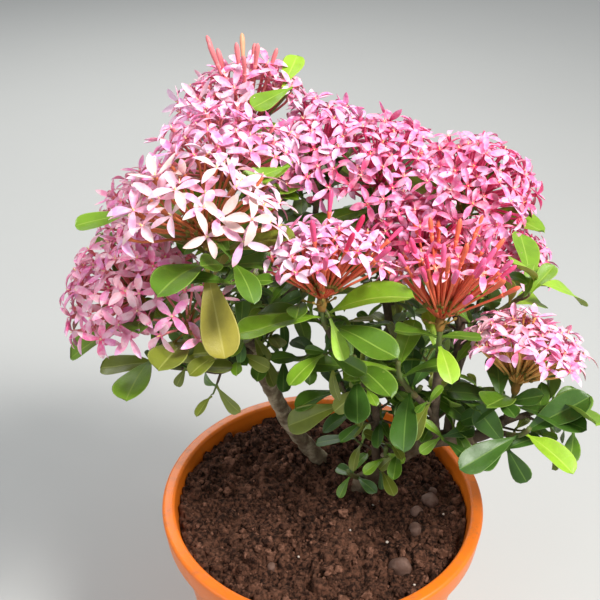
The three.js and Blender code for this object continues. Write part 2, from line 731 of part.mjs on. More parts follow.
// All shoots as solids. What would leave its own space or touch a neighbour isn't grown.
function buildShoots(limbs) {
  const specs = [...FLOWERING, ...LEAFY];
  const shoots = specs.map((spec, index) => growShoot(spec, TWIG.seedStep * (index + 1), limbs));
  addTwigs(shoots, limbs);
  const woods = limbs.map((limb) => limb.solid);
  const addClear = (shoot, piece) => {
    const neighbours = shoots.filter((other) => other !== shoot).flatMap((other) => other.pieces);
    if (keepsClear(piece, woods) && keepsClear(piece, neighbours)) {
      shoot.pieces.push(piece);
    }
  };
  for (const shoot of shoots) {
    for (const bud of shoot.buds) {
      addClear(shoot, budSolid(bud));
    }
    for (const flower of shoot.flowers) {
      const end = flower.hub.clone().addScaledVector(flower.direction, flower.reach);
      if (inOwnSpace(end, shoot, shoots)) {
        addClear(shoot, flowerSolid(flower));
      }
    }
  }
  for (const shoot of shoots) {
    for (const leaf of shoot.leaves) {
      const middle = leaf.base.clone().addScaledVector(leaf.direction, leaf.length * LEAF.middleShare);
      if (inOwnSpace(middle, shoot, shoots)) {
        addClear(shoot, leafSolid(leaf));
      }
    }
  }
  return shoots;
}

// The whole potted plant.
function build() {
  const plant = new THREE.Group();
  plant.add(meshOf('pot', potSolid(), 'pot'));
  plant.add(meshOf('soil', soilSolid(), 'soil'));
  const limbs = buildLimbs();
  for (const limb of limbs) {
    plant.add(meshOf(limb.name, limb.solid, 'bark'));
  }
  for (const shoot of buildShoots(limbs)) {
    const solid = wasm.Manifold.union(shoot.pieces);
    plant.add(meshOf(shoot.name, solid, shoot.flowers.length > 0 ? 'blossom' : 'foliage'));
  }
  return plant;
}

export default build();
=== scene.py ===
"""Looks of a potted dwarf ixora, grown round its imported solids.

Lengths in this file are millimetres, as in the part's own source, and meshes are made
in metres. The origin is the centre of the pot's flat underside, +Z is up, +X is the
plant's right and -Y its front.
"""

from __future__ import annotations

import logging
import math
from collections.abc import Iterable, Sequence
from dataclasses import dataclass, field, replace
from enum import Enum, IntEnum

import bmesh
import bpy
import numpy as np
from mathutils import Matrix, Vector


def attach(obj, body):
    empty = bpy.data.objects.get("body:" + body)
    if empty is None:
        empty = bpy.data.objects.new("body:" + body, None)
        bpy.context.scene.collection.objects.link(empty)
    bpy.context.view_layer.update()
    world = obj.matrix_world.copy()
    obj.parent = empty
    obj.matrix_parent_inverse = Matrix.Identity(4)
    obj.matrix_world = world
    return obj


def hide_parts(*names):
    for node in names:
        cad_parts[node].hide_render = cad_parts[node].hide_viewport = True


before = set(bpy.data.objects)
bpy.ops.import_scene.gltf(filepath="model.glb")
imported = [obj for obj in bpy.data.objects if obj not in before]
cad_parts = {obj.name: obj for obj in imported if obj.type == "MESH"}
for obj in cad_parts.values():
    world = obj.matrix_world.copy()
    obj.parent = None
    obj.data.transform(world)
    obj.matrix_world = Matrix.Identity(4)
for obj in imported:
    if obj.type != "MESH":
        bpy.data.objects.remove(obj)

LOG = logging.getLogger("potted_ixora")
Array = np.ndarray
Colour = tuple[float, float, float]
Point = tuple[float, float, float]
Pair = tuple[float, float]
Face = tuple[int, ...]
Piece = bpy.types.Object
Socket = bpy.types.NodeSocket
Sockets = bpy.types.bpy_prop_collection

METRES = 0.001
BODY = "root"
UP = np.array((0.0, 0.0, 1.0))
GOLDEN_ANGLE = math.pi * (3 - math.sqrt(5))


def unit(vector: Sequence[float] | Array) -> Array:
    """Scales a vector, or each row of an array of them, to length one."""
    return np.asarray(vector, float) / np.linalg.norm(vector, axis=-1, keepdims=True)


def mix(start: float, end: float, share: float) -> float:
    """Goes from start to end by a share."""
    return start + (end - start) * share


def squared(vector: Sequence[float] | Array, direction: Array) -> Array:
    """Turns a vector square to a unit direction, and makes it one unit long."""
    return unit(vector - direction * np.dot(vector, direction))


def smooth(low: float, high: float, value: Array | float) -> Array:
    """Rises softly from 0, where the value is low, to 1, where it is high."""
    share = np.clip((np.asarray(value, float) - low) / (high - low), 0, 1)
    return share * share * (3 - 2 * share)


def square_to(direction: Array) -> tuple[Array, Array]:
    """Finds two directions square to a given one.

    Args:
        direction: A unit vector.

    Returns:
        Two unit vectors, square to it and to each other.
    """
    nearly_upright = 0.95
    reference = np.array((1.0, 0.0, 0.0)) if abs(direction[2]) > nearly_upright else UP
    side = unit(np.cross(reference, direction))
    return side, np.cross(direction, side)


def sideways(direction: Array, angle: float) -> Array:
    """Gives the unit vector square to a direction, at an angle round it."""
    side, across = square_to(direction)
    return side * math.cos(angle) + across * math.sin(angle)


class Draws:
    """Repeatable draws between two limits, by the rule of the part's own source."""

    def __init__(self, seed: int) -> None:
        """Starts the series from a seed."""
        self.state = seed % 2**32

    def between(self, low: float, high: float) -> float:
        """Draws the next number between two limits."""
        self.state = (self.state * 1664525 + 1013904223) % 2**32
        return mix(low, high, self.state / 2**32)


class Ripple:
    """Smooth repeatable noise on a plane, from -1 to 1."""

    SIZE = 256

    def __init__(self, seed: int) -> None:
        """Fills the lattice of random heights."""
        self.table = np.random.default_rng(seed).uniform(-1, 1, (self.SIZE, self.SIZE))

    def at(self, x: Array, y: Array, turn: int = SIZE) -> Array:
        """Reads the noise.

        Args:
            x: Places across, in lattice steps.
            y: Places along, in lattice steps.
            turn: After this many steps across, the noise repeats.

        Returns:
            The height at each place.
        """
        x, y = np.broadcast_arrays(np.asarray(x, float), np.asarray(y, float))
        column, row = np.floor(x).astype(int), np.floor(y).astype(int)
        across, along = smooth(0, 1, x - column), smooth(0, 1, y - row)
        left, right = column % turn, (column + 1) % turn
        low, high = row % self.SIZE, (row + 1) % self.SIZE
        near = mix(self.table[low, left], self.table[low, right], across)
        far = mix(self.table[high, left], self.table[high, right], across)
        return mix(near, far, along)


class Curve:
    """A smooth line, read by share of its length."""

    DIVISIONS = 200
    NUDGE = 1e-4

    def __init__(self) -> None:
        """Measures the line."""
        self.steps = np.linspace(0, 1, self.DIVISIONS + 1)
        gaps = np.linalg.norm(np.diff(self.place(self.steps), axis=0), axis=1)
        self.travelled = np.concatenate(([0], np.cumsum(gaps)))
        self.length = float(self.travelled[-1])

    def place(self, step: Array) -> Array:
        """Gives points at steps of the line's own parameter, from 0 to 1.

        Args:
            step: The steps.

        Returns:
            The points.
        """
        raise NotImplementedError

    def step_at(self, share: Array | float) -> Array:
        """Turns shares of the length into the line's own parameter."""
        return np.interp(np.asarray(share) * self.length, self.travelled, self.steps)

    def point(self, share: Array | float) -> Array:
        """Gives the point at each share of the length."""
        return self.place(self.step_at(share))

    def direction(self, share: Array | float) -> Array:
        """Gives the unit direction at each share of the length.

        Args:
            share: The share or shares of the length.

        Returns:
            The unit vectors.
        """
        step = self.step_at(share)
        before, after = np.maximum(step - self.NUDGE, 0), np.minimum(step + self.NUDGE, 1)
        return unit(self.place(after) - self.place(before))

    def frames(self, shares: Sequence[float]) -> tuple[Array, Array, Array]:
        """Carries a pair of sideways directions along the line without twist.

        Args:
            shares: Where to read it, by share of the length.

        Returns:
            The points and the two sideways directions at each.
        """
        along = self.direction(shares)
        side = square_to(along[0])[0]
        sides = []
        for direction in along:
            side = squared(side, direction)
            sides.append(side)
        return self.point(shares), np.array(sides), np.cross(along, np.array(sides))


class Route(Curve):
    """A line through given points, curving evenly between them."""

    def __init__(self, points: Sequence[Sequence[float]]) -> None:
        """Takes the points of the route.

        Args:
            points: The points that the line goes through.
        """
        inner = np.array(points, float)
        first, last = 2 * inner[0] - inner[1], 2 * inner[-1] - inner[-2]
        self.points = np.vstack((first, inner, last))
        self.spans = np.sqrt(np.linalg.norm(np.diff(self.points, axis=0), axis=1))
        super().__init__()

    def place(self, step: Array) -> Array:
        """Gives points on the line; see Curve.place."""
        count = len(self.points) - 3
        i = np.minimum((step * count).astype(int), count - 1)
        share = (step * count - i)[..., None]
        p0, p1, p2, p3 = (self.points[i + k] for k in range(4))
        d0, d1, d2 = (self.spans[i + k][..., None] for k in range(3))
        leave = ((p1 - p0) / d0 - (p2 - p0) / (d0 + d1) + (p2 - p1) / d1) * d1
        enter = ((p2 - p1) / d1 - (p3 - p1) / (d1 + d2) + (p3 - p2) / d2) * d1
        square = 3 * (p2 - p1) - 2 * leave - enter
        cube = 2 * (p1 - p2) + leave + enter
        return p1 + leave * share + square * share**2 + cube * share**3


class Bend(Curve):
    """A line with two ends and two pulling points."""

    def __init__(self, start: Array, leave: Array, enter: Array, end: Array) -> None:
        """Takes the ends and the points that pull the line."""
        self.pulls = (start, leave, enter, end)
        super().__init__()

    def place(self, step: Array) -> Array:
        """Gives points on the line; see Curve.place."""
        share = step[..., None]
        rest = 1 - share
        start, leave, enter, end = self.pulls
        near = start * rest**3 + leave * 3 * rest**2 * share
        return near + enter * 3 * rest * share**2 + end * share**3


@dataclass
class Shape:
    """Points, faces of any number of corners, and a tone number, or 0, for each face."""

    points: Array
    faces: list[Face]
    tones: list[int] = field(default_factory=list)

    def __post_init__(self) -> None:
        """Gives every face tone 0 where no tones are given."""
        self.tones = self.tones or [0] * len(self.faces)

    def placed(self, origin: Array, axes: Array) -> Shape:
        """Copies the shape to an origin, with its three own axes there given as rows."""
        return Shape(self.points @ axes + origin, self.faces, self.tones)


class Batch:
    """Many shapes joined into one mesh object."""

    def __init__(self, name: str) -> None:
        """Starts an empty batch for a piece of this name.

        Args:
            name: The piece's name.
        """
        self.name = name
        self.count = 0
        self.points: list[Array] = []
        self.faces: list[Face] = []
        self.tones: list[int] = []

    def add(self, shape: Shape, tones: Sequence[int] | None = None) -> None:
        """Adds a shape.

        Args:
            shape: The shape, in millimetres.
            tones: Which finish each of the shape's own tones takes, or as they are.
        """
        self.faces += [tuple(corner + self.count for corner in face) for face in shape.faces]
        self.tones.extend(shape.tones if tones is None else (tones[t] for t in shape.tones))
        self.points.append(shape.points)
        self.count += len(shape.points)

    def build(self, finishes: Sequence[Finish]) -> Piece:
        """Makes the mesh object, smooth-shaded, with the finishes that it uses.

        Args:
            finishes: The finishes that the tone numbers stand for.

        Returns:
            The object, linked to the scene.
        """
        mesh = bpy.data.meshes.new(self.name)
        mesh.from_pydata(np.vstack(self.points) * METRES, [], self.faces)
        used = sorted(set(self.tones))
        for tone in used:
            mesh.materials.append(finishes[tone].build())
        mesh.polygons.foreach_set("material_index", np.searchsorted(used, self.tones))
        mesh.polygons.foreach_set("use_smooth", [True] * len(self.faces))
        mesh.validate()
        return linked(self.name, mesh)


def linked(name: str, data: bpy.types.ID) -> Piece:
    """Makes an object of its data and links it to the scene.

    Args:
        name: The object's name.
        data: Its mesh, light or camera.

    Returns:
        The object.
    """
    made = bpy.data.objects.new(name, data)
    bpy.context.scene.collection.objects.link(made)
    return made


def quads(numbers: Array) -> list[Face]:
    """Lists the quads of a grid of point numbers, row by row."""
    corners = (numbers[:-1, :-1], numbers[:-1, 1:], numbers[1:, 1:], numbers[1:, :-1])
    return [tuple(face) for face in np.stack(corners, axis=-1).reshape(-1, 4).tolist()]


def ring_quads(numbers: Array) -> list[Face]:
    """Lists the quads of a grid of point numbers whose rows close on themselves."""
    return quads(np.hstack((numbers, numbers[:, :1])))


def circle(sides: int) -> Array:
    """Gives evenly spaced angles round a circle."""
    return np.linspace(0, 2 * math.pi, sides, endpoint=False)


def grid(rings: int, sides: int) -> tuple[Array, Array]:
    """Gives even shares of a length as a column, and angles round it as a row."""
    return np.linspace(0, 1, rings)[:, None], circle(sides)[None, :]


def swept(curve: Curve, shares: Array, radii: Array, second_from: float = 2) -> Shape:
    """Sweeps a ring along a curve and closes both ends.

    Args:
        curve: The line to follow.
        shares: Where the rings stand, by share of its length.
        radii: Each ring's radii, as a row with one for each of its points.
        second_from: From this share on, the faces take tone 1 instead of 0.

    Returns:
        The closed tube.
    """
    points, side, across = curve.frames(shares)
    numbers = np.arange(radii.size).reshape(radii.shape)
    angles = circle(radii.shape[1])
    rings = (
        points[:, None]
        + side[:, None] * (radii * np.cos(angles))[..., None]
        + across[:, None] * (radii * np.sin(angles))[..., None]
    )
    faces = ring_quads(numbers) + [tuple(numbers[0, ::-1].tolist()), tuple(numbers[-1].tolist())]
    tones = [int(share >= second_from) for share in shares[:-1] for _ in angles]
    return Shape(rings.reshape(-1, 3), faces, [*tones, 0, int(second_from <= 1)])


def tapered(curve: Curve, rings: Sequence[Pair], sides: int, second_from: float = 2) -> Shape:
    """Sweeps round rings, given as (share, radius) pairs, along a curve."""
    shares, radii = zip(*rings)
    return swept(curve, shares, np.outer(radii, np.ones(sides)), second_from)


def turned(profile: Sequence[Pair], segments: int) -> Shape:
    """Turns a profile of (radius, height) pairs that closes on itself round +Z.

    Args:
        profile: The corners of the profile, off the axis.
        segments: How many steps the turn has.

    Returns:
        The ring-shaped solid.
    """
    radii, heights = np.array(profile).T
    points = around(radii, heights, segments)
    numbers = np.arange(len(points)).reshape(len(profile), segments)
    return Shape(points, ring_quads(np.vstack((numbers, numbers[:1]))))


def around(radii: Array, heights: Array, sides: int, twist: float = 0) -> Array:
    """Gives points on level rings round +Z, ring by ring.

    Args:
        radii: The rings' radii.
        heights: Their heights.
        sides: How many points each ring has.
        twist: How far a ring turns for each unit of height.

    Returns:
        The points.
    """
    radii, heights = np.asarray(radii)[:, None], np.asarray(heights)[:, None]
    angles = circle(sides)[None, :] + twist * heights
    rings = (radii * np.cos(angles), radii * np.sin(angles), heights + 0 * angles)
    return np.stack(rings, axis=-1).reshape(-1, 3)


def capped(rings: Sequence[Pair], sides: int, twist: float = 0) -> Shape:
    """Shapes a small body from (height, radius) rings, closed at its top end.

    Args:
        rings: The rings, from the foot up.
        sides: How many points each ring has.
        twist: How far a ring turns for each unit of height.

    Returns:
        The body, open underneath.
    """
    heights, radii = zip(*rings)
    numbers = np.arange(len(rings) * sides).reshape(-1, sides)
    faces = [*ring_quads(numbers), tuple(numbers[-1].tolist())]
    return Shape(around(radii, heights, sides, twist), faces)


class Pink(Enum):
    """Base colours of petals, tubes and buds."""

    CERISE = (0.74, 0.03, 0.12)
    ROSE = (0.89, 0.095, 0.26)
    CANDY = (0.91, 0.16, 0.39)
    ORCHID = (0.89, 0.24, 0.53)
    SHELL = (0.93, 0.33, 0.52)
    LILAC = (0.92, 0.42, 0.73)
    BLUSH = (0.94, 0.50, 0.60)
    POWDER = (0.94, 0.61, 0.79)
    SALMON = (0.88, 0.26, 0.27)
    PEACH = (0.90, 0.46, 0.26)
    CREAM = (0.90, 0.52, 0.48)
    IVORY = (0.91, 0.63, 0.57)
    CORAL = (0.90, 0.18, 0.09)
    TERRACOTTA = (0.62, 0.17, 0.06)
    TAN = (0.90, 0.48, 0.15)
    POLLEN = (0.80, 0.62, 0.20)


PINKS = list(Pink)


class Green(Enum):
    """Base colours of the leaves' upper side, with the underside and midrib of each."""

    LIME = ((0.33, 0.57, 0.034), (0.35, 0.52, 0.06), (0.43, 0.62, 0.08))
    BRIGHT = ((0.19, 0.36, 0.018), (0.24, 0.36, 0.05), (0.30, 0.46, 0.06))
    MID = ((0.094, 0.205, 0.013), (0.17, 0.27, 0.04), (0.20, 0.33, 0.045))
    DEEP = ((0.050, 0.130, 0.014), (0.11, 0.19, 0.035), (0.12, 0.22, 0.04))
    OLIVE = ((0.19, 0.23, 0.022), (0.24, 0.27, 0.05), (0.30, 0.34, 0.07))
    OCHRE = ((0.36, 0.31, 0.035), (0.40, 0.34, 0.07), (0.45, 0.40, 0.09))


GREENS = list(Green)
LIME, BRIGHT, MID, DEEP, OLIVE, OCHRE = GREENS


class MixKind(Enum):
    """What a mix node mixes, with its first input and its output."""

    RGBA = (6, 2)
    FLOAT = (2, 0)


class NodeMaker:
    """Adds nodes and links to a node tree in few words."""

    SOFT = {"interpolation_type": "SMOOTHSTEP"}

    def __init__(self, tree: bpy.types.NodeTree) -> None:
        """Takes the tree to add to."""
        self.tree = tree

    def node(
        self, kind: str, options: dict[str, object] | None = None, **inputs: object
    ) -> bpy.types.Node:
        """Adds a node, with its inputs named with _ for each space.

        Args:
            kind: Blender's name for the node type.
            options: Properties of the node.
            inputs: Plain values or output sockets.

        Returns:
            The node.
        """
        made = self.tree.nodes.new(kind)
        for name, value in (options or {}).items():
            setattr(made, name, value)
        for name, value in inputs.items():
            self.put(made.inputs[name.replace("_", " ")], value)
        return made

    def put(self, socket: Socket, value: object) -> None:
        """Sets an input to a plain value, or links it to an output.

        Args:
            socket: The input.
            value: The plain value or the output socket.
        """
        if isinstance(value, bpy.types.NodeSocket):
            self.tree.links.new(value, socket)
        else:
            socket.default_value = value

    def math(self, operation: str, *values: object) -> Socket:
        """Adds a math node.

        Args:
            operation: Blender's name for what it does.
            values: What goes into it, in order.

        Returns:
            Its output.
        """
        made = self.node("ShaderNodeMath", {"operation": operation})
        for socket, value in zip(made.inputs, values):
            self.put(socket, value)
        return made.outputs[0]

    def mixed(self, kind: MixKind, share: object, first: object, second: object) -> Socket:
        """Mixes two colours or two values.

        Args:
            kind: Which of the two it mixes.
            share: The second's share.
            first: The first colour or value.
            second: The second one.

        Returns:
            The mixed output.
        """
        made = self.node("ShaderNodeMix", {"data_type": kind.name})
        place, result = kind.value
        for socket, value in zip((0, place, place + 1), (share, first, second)):
            self.put(made.inputs[socket], value)
        return made.outputs[result]

    def noise(self, scale: object, detail: float, roughness: float) -> Socket:
        """Reads a noise at the place on the piece.

        Args:
            scale: Its scale, as a value or a socket.
            detail: How many finer layers it has.
            roughness: How strong they are.

        Returns:
            The noise's output.
        """
        inputs = {"Scale": scale, "Detail": detail, "Roughness": roughness}
        place = self.node("ShaderNodeTexCoord").outputs["Object"]
        return self.node("ShaderNodeTexNoise", Vector=place, **inputs).outputs["Fac"]

    def soft_step(self, value: Socket, low: float, high: float) -> Socket:
        """Turns a value into a soft mask that rises between two limits."""
        made = self.node("ShaderNodeMapRange", self.SOFT, Value=value, From_Min=low, From_Max=high)
        return made.outputs["Result"]


class EffectGroup:
    """A shader node group that several materials share, built once."""

    NAME = ""
    COLOURS: tuple[str, ...] = ()
    VALUES: tuple[str, ...] = ()

    @classmethod
    def tree(cls) -> bpy.types.NodeTree:
        """Builds the group on its first use.

        Returns:
            Its node tree.
        """
        found = bpy.data.node_groups.get(cls.NAME)
        if found:
            return found
        tree = bpy.data.node_groups.new(cls.NAME, "ShaderNodeTree")
        for name in (*cls.COLOURS, *cls.VALUES):
            kind = "NodeSocketColor" if name in cls.COLOURS else "NodeSocketFloat"
            tree.interface.new_socket(name, in_out="INPUT", socket_type=kind)
        maker = NodeMaker(tree)
        outputs = cls.fill(maker, maker.node("NodeGroupInput").outputs)
        result = maker.node("NodeGroupOutput")
        for name, output in outputs.items():
            kind = "NodeSocketColor" if name == "Color" else "NodeSocketFloat"
            tree.interface.new_socket(name, in_out="OUTPUT", socket_type=kind)
            maker.put(result.inputs[name], output)
        return tree

    @classmethod
    def fill(cls, maker: NodeMaker, given: Sockets) -> dict[str, Socket]:
        """Adds the group's own nodes.

        Args:
            maker: The group's node maker.
            given: The group's inputs.

        Returns:
            Its outputs by name.
        """
        raise NotImplementedError

    @classmethod
    def place(cls, maker: NodeMaker, **inputs: object) -> Sockets:
        """Puts the group in a material, with values or sockets by input name."""
        return maker.node("ShaderNodeGroup", {"node_tree": cls.tree()}, **inputs).outputs


class Mottle(EffectGroup):
    """Two colours that drift into each other in soft patches."""

    NAME = "mottle"
    COLOURS = ("Main", "Second")
    VALUES = ("Scale", "Amount")
    NOISE = (4.0, 0.6)
    EDGES = (0.38, 0.66)

    @classmethod
    def fill(cls, maker: NodeMaker, given: Sockets) -> dict[str, Socket]:
        """Mixes the colours by a soft noise; see EffectGroup.fill."""
        patch = maker.soft_step(maker.noise(given["Scale"], *cls.NOISE), *cls.EDGES)
        share = maker.math("MULTIPLY", patch, given["Amount"])
        colour = maker.mixed(MixKind.RGBA, share, given["Main"], given["Second"])
        return {"Color": colour}


class Grain(EffectGroup):
    """Fine height relief at two scales, with a roughness that follows it."""

    NAME = "grain"
    VALUES = ("Scale", "Coarse", "Dull", "Spread")
    FINE = (5.0, 0.65)
    COARSE = (3.0, 0.5)
    COARSER = 0.22

    @classmethod
    def fill(cls, maker: NodeMaker, given: Sockets) -> dict[str, Socket]:
        """Adds a fine and a coarse noise; see EffectGroup.fill."""
        fine = maker.noise(given["Scale"], *cls.FINE)
        coarse = maker.noise(maker.math("MULTIPLY", given["Scale"], cls.COARSER), *cls.COARSE)
        height = maker.mixed(MixKind.FLOAT, given["Coarse"], fine, coarse)
        dull = maker.math("MULTIPLY_ADD", coarse, given["Spread"], given["Dull"])
        return {"Height": height, "Roughness": dull}


class DustAndPaintedLight(EffectGroup):
    """A layer on what faces up, broken up by noise: settled dust, and on the soil a pale dry crust
    that is also painted light on the crumbs' tops.
    """

    NAME = "dust_and_painted_light"
    COLOURS = ("Clean", "Dirt")
    VALUES = ("Scale", "Amount", "Facing")
    NOISE = (6.0, 0.7)
    EDGES = (0.46, 0.72)
    SLOPES = (-0.2, 1.0)

    @classmethod
    def fill(cls, maker: NodeMaker, given: Sockets) -> dict[str, Socket]:
        """Mixes in the layer by facing and noise; see EffectGroup.fill."""
        normal = maker.node("ShaderNodeNewGeometry").outputs["Normal"]
        apart = maker.node("ShaderNodeSeparateXYZ", Vector=normal)
        facing = maker.soft_step(apart.outputs["Z"], *cls.SLOPES)
        weight = maker.mixed(MixKind.FLOAT, given["Facing"], 1.0, facing)
        spots = maker.soft_step(maker.noise(given["Scale"], *cls.NOISE), *cls.EDGES)
        patch = maker.math("MULTIPLY", weight, spots)
        share = maker.math("MULTIPLY", patch, given["Amount"])
        colour = maker.mixed(MixKind.RGBA, share, given["Clean"], given["Dirt"])
        return {"Color": colour}


def opaque(colour: Colour) -> tuple[float, float, float, float]:
    """Adds full alpha to a colour."""
    return (*colour, 1.0)


def tinted(colour: Colour, factor: float) -> Colour:
    """Makes a colour darker or lighter by a factor."""
    return tuple(min(1.0, part * factor) for part in colour)


def paler(colour: Colour, share: float) -> Colour:
    """Moves a colour toward a rosy white by a share."""
    return tuple(mix(part, white, share) for part, white in zip(colour, (1.0, 0.9, 0.94)))


@dataclass(frozen=True)
class Finish:
    """A surface finish: colour drift, relief and roughness on one shader."""

    name: str
    main: Colour
    second: Colour
    patch_scale: float = 100.0
    patch_amount: float = 0.4
    grain_scale: float = 900.0
    grain_coarse: float = 0.5
    dull: float = 0.55
    dull_spread: float = 0.1
    relief: float = 0.0002
    specular: float = 0.5
    coat: float = 0.0
    coat_dull: float = 0.25
    sheen: float = 0.0

    def colour(self, maker: NodeMaker) -> Socket:
        """Adds what makes the surface's colour.

        Args:
            maker: The material's node maker.

        Returns:
            The socket with the colour.
        """
        inputs = {"Main": opaque(self.main), "Second": opaque(self.second)}
        inputs |= {"Scale": self.patch_scale, "Amount": self.patch_amount}
        return Mottle.place(maker, **inputs)["Color"]

    def build(self) -> bpy.types.Material:
        """Makes the material, or finds it if it is made.

        Returns:
            The material.
        """
        found = bpy.data.materials.get(self.name)
        if found:
            return found
        material = bpy.data.materials.new(self.name)
        material.use_nodes = True
        material.node_tree.nodes.clear()
        maker = NodeMaker(material.node_tree)
        grain = Grain.place(
            maker,
            Scale=self.grain_scale,
            Coarse=self.grain_coarse,
            Dull=self.dull,
            Spread=self.dull_spread,
        )
        height = grain["Height"]
        bump = maker.node("ShaderNodeBump", Height=height, Distance=self.relief, Strength=1.0)
        shader = maker.node(
            "ShaderNodeBsdfPrincipled",
            Base_Color=self.colour(maker),
            Roughness=grain["Roughness"],
            Normal=bump.outputs["Normal"],
            Specular_IOR_Level=self.specular,
            Coat_Weight=self.coat,
            Coat_Roughness=self.coat_dull,
            Sheen_Weight=self.sheen,
        )
        maker.node("ShaderNodeOutputMaterial", Surface=shader.outputs["BSDF"])
        return material


@dataclass(frozen=True)
class DustAndPaintedLightFinish(Finish):
    """A finish with a layer on what faces up: settled dust, and on the soil painted light as well.
    """

    dirt: Colour = (0.16, 0.075, 0.045)
    dirt_scale: float = 60.0
    dirt_amount: float = 0.4
    dirt_facing: float = 0.5

    def colour(self, maker: NodeMaker) -> Socket:
        """Gives the socket with the surface's colour under its top layer; see Finish.colour."""
        colours = {"Clean": super().colour(maker), "Dirt": opaque(self.dirt)}
        values = {"Scale": self.dirt_scale, "Amount": self.dirt_amount, "Facing": self.dirt_facing}
        return DustAndPaintedLight.place(maker, **colours, **values)["Color"]


PETAL = Finish(
    "petal", Pink.CANDY.value, Pink.LILAC.value, patch_scale=260.0, patch_amount=0.75,
    grain_scale=2600.0, dull=0.46, relief=0.00015, specular=0.35, sheen=0.1,
)
TUBE = Finish(
    "tube", Pink.SALMON.value, Pink.CERISE.value, patch_scale=200.0, patch_amount=0.55,
    grain_scale=2200.0, dull=0.4, relief=0.00012, specular=0.4, coat=0.05,
)


def dyed(finish: Finish, pink: Pink, second: Colour) -> Finish:
    """Gives a finish in one of the pinks, with its second colour."""
    name = f"{finish.name}_{pink.name.lower()}"
    return replace(finish, name=name, main=pink.value, second=second)


def leaf_finishes(green: Green) -> list[Finish]:
    """Gives a leaf's finishes in one of the greens.

    Args:
        green: The green.

    Returns:
        The finishes of the upper side, the underside and the midrib.
    """
    upper, under, rib = green.value
    name = green.name.lower()
    return [
        Finish(
            f"leaf_{name}", upper, tinted(upper, 0.72), patch_scale=130.0, patch_amount=0.55,
            grain_scale=1500.0, dull=0.32, dull_spread=0.16, relief=0.00025, specular=0.48,
            coat=0.07,
        ),
        Finish(
            f"leaf_{name}_underside", under, tinted(under, 0.8), patch_scale=160.0,
            grain_scale=1500.0, relief=0.0003, specular=0.3,
        ),
        Finish(
            f"leaf_{name}_midrib", rib, tinted(rib, 0.8), patch_scale=200.0,
            grain_scale=1800.0, dull=0.4, relief=0.0001, specular=0.4,
        ),
    ]


POT_PLASTIC = DustAndPaintedLightFinish(
    "orange_pot_plastic", (0.86, 0.195, 0.012), (0.76, 0.150, 0.010), patch_scale=22.0,
    grain_scale=1400.0, dull=0.24, dull_spread=0.2, relief=0.00004, specular=0.4, coat=0.05,
    dirt=(0.30, 0.12, 0.06), dirt_scale=130.0, dirt_amount=0.45, dirt_facing=0.9,
)
# Soil: the pale layer on up-facing crumbs is partly a dry crust and partly painted light on their
# tops; the near-black main colour left on the sides and in the hollows is partly painted shade.
SOIL = DustAndPaintedLightFinish(
    "crumbly_soil", (0.017, 0.008, 0.005), (0.140, 0.060, 0.036), patch_scale=430.0,
    patch_amount=0.95, grain_scale=2600.0, grain_coarse=0.6, dull=0.92, dull_spread=0.08,
    relief=0.0018, specular=0.15, dirt=(0.26, 0.118, 0.073), dirt_scale=70.0, dirt_amount=0.6,
    dirt_facing=0.8,
)
CLOD = Finish(
    "soil_clod", (0.026, 0.011, 0.007), (0.150, 0.067, 0.041), patch_scale=330.0,
    patch_amount=0.95, grain_scale=2600.0, dull=0.9, relief=0.0016, specular=0.15,
)
DRY_CLOD = Finish(
    "dry_soil_clod", (0.105, 0.046, 0.028), (0.310, 0.150, 0.098), patch_scale=300.0,
    patch_amount=0.9, grain_scale=2600.0, dull=0.92, relief=0.0016, specular=0.12,
)
PEBBLE = DustAndPaintedLightFinish(
    "dusty_pebble", (0.105, 0.056, 0.040), (0.200, 0.120, 0.092), patch_scale=150.0,
    patch_amount=0.8, grain_scale=1500.0, dull=0.62, relief=0.0004, specular=0.3,
    dirt=(0.09, 0.04, 0.025), dirt_amount=0.6, dirt_scale=170.0,
)
PALE_GRIT = Finish(
    "pale_grit", (0.66, 0.60, 0.53), (0.46, 0.36, 0.28), patch_scale=400.0, patch_amount=0.8,
    dull=0.8, relief=0.0003, specular=0.2,
)
BARK = DustAndPaintedLightFinish(
    "grey_bark", (0.205, 0.155, 0.095), (0.54, 0.46, 0.31), patch_scale=95.0, patch_amount=1.0,
    grain_scale=1300.0, grain_coarse=0.4, dull=0.8, relief=0.0014, specular=0.2,
    dirt=(0.085, 0.050, 0.032), dirt_scale=150.0, dirt_amount=0.8, dirt_facing=0.0,
)
MOSSY_BARK = DustAndPaintedLightFinish(
    "mossy_bark", (0.105, 0.072, 0.043), (0.27, 0.205, 0.135), patch_amount=0.8,
    grain_scale=1200.0, grain_coarse=0.4, dull=0.86, relief=0.0013, specular=0.15,
    dirt=(0.075, 0.105, 0.030), dirt_scale=120.0, dirt_amount=0.75, dirt_facing=0.6,
)
DARK_TWIG = Finish(
    "brown_twig", (0.085, 0.060, 0.040), (0.18, 0.135, 0.09), patch_scale=160.0,
    patch_amount=0.7, grain_scale=1500.0, dull=0.75, relief=0.0006, specular=0.25,
)
GREEN_TWIG = Finish(
    "green_twig", (0.115, 0.165, 0.042), (0.17, 0.115, 0.045), patch_scale=120.0,
    patch_amount=0.7, grain_scale=1500.0, relief=0.0003, specular=0.35,
)
FLOWER_STALK = Finish(
    "flower_stalk", (0.34, 0.165, 0.035), (0.20, 0.15, 0.03), patch_scale=240.0,
    patch_amount=0.8, grain_scale=2200.0, dull=0.6, specular=0.3,
)
CALYX = replace(
    FLOWER_STALK, name="green_calyx", main=(0.26, 0.16, 0.035), second=(0.17, 0.19, 0.03),
    dull=0.55,
)
CUT_WOOD = Finish(
    "weathered_cut_wood", (0.46, 0.36, 0.24), (0.27, 0.19, 0.12), patch_scale=300.0,
    patch_amount=0.6, dull=0.8, relief=0.0004, specular=0.2,
)


class LimbKind(Enum):
    """What kind of limb a route belongs to."""

    STEM = "stem"
    BOUGH = "bough"


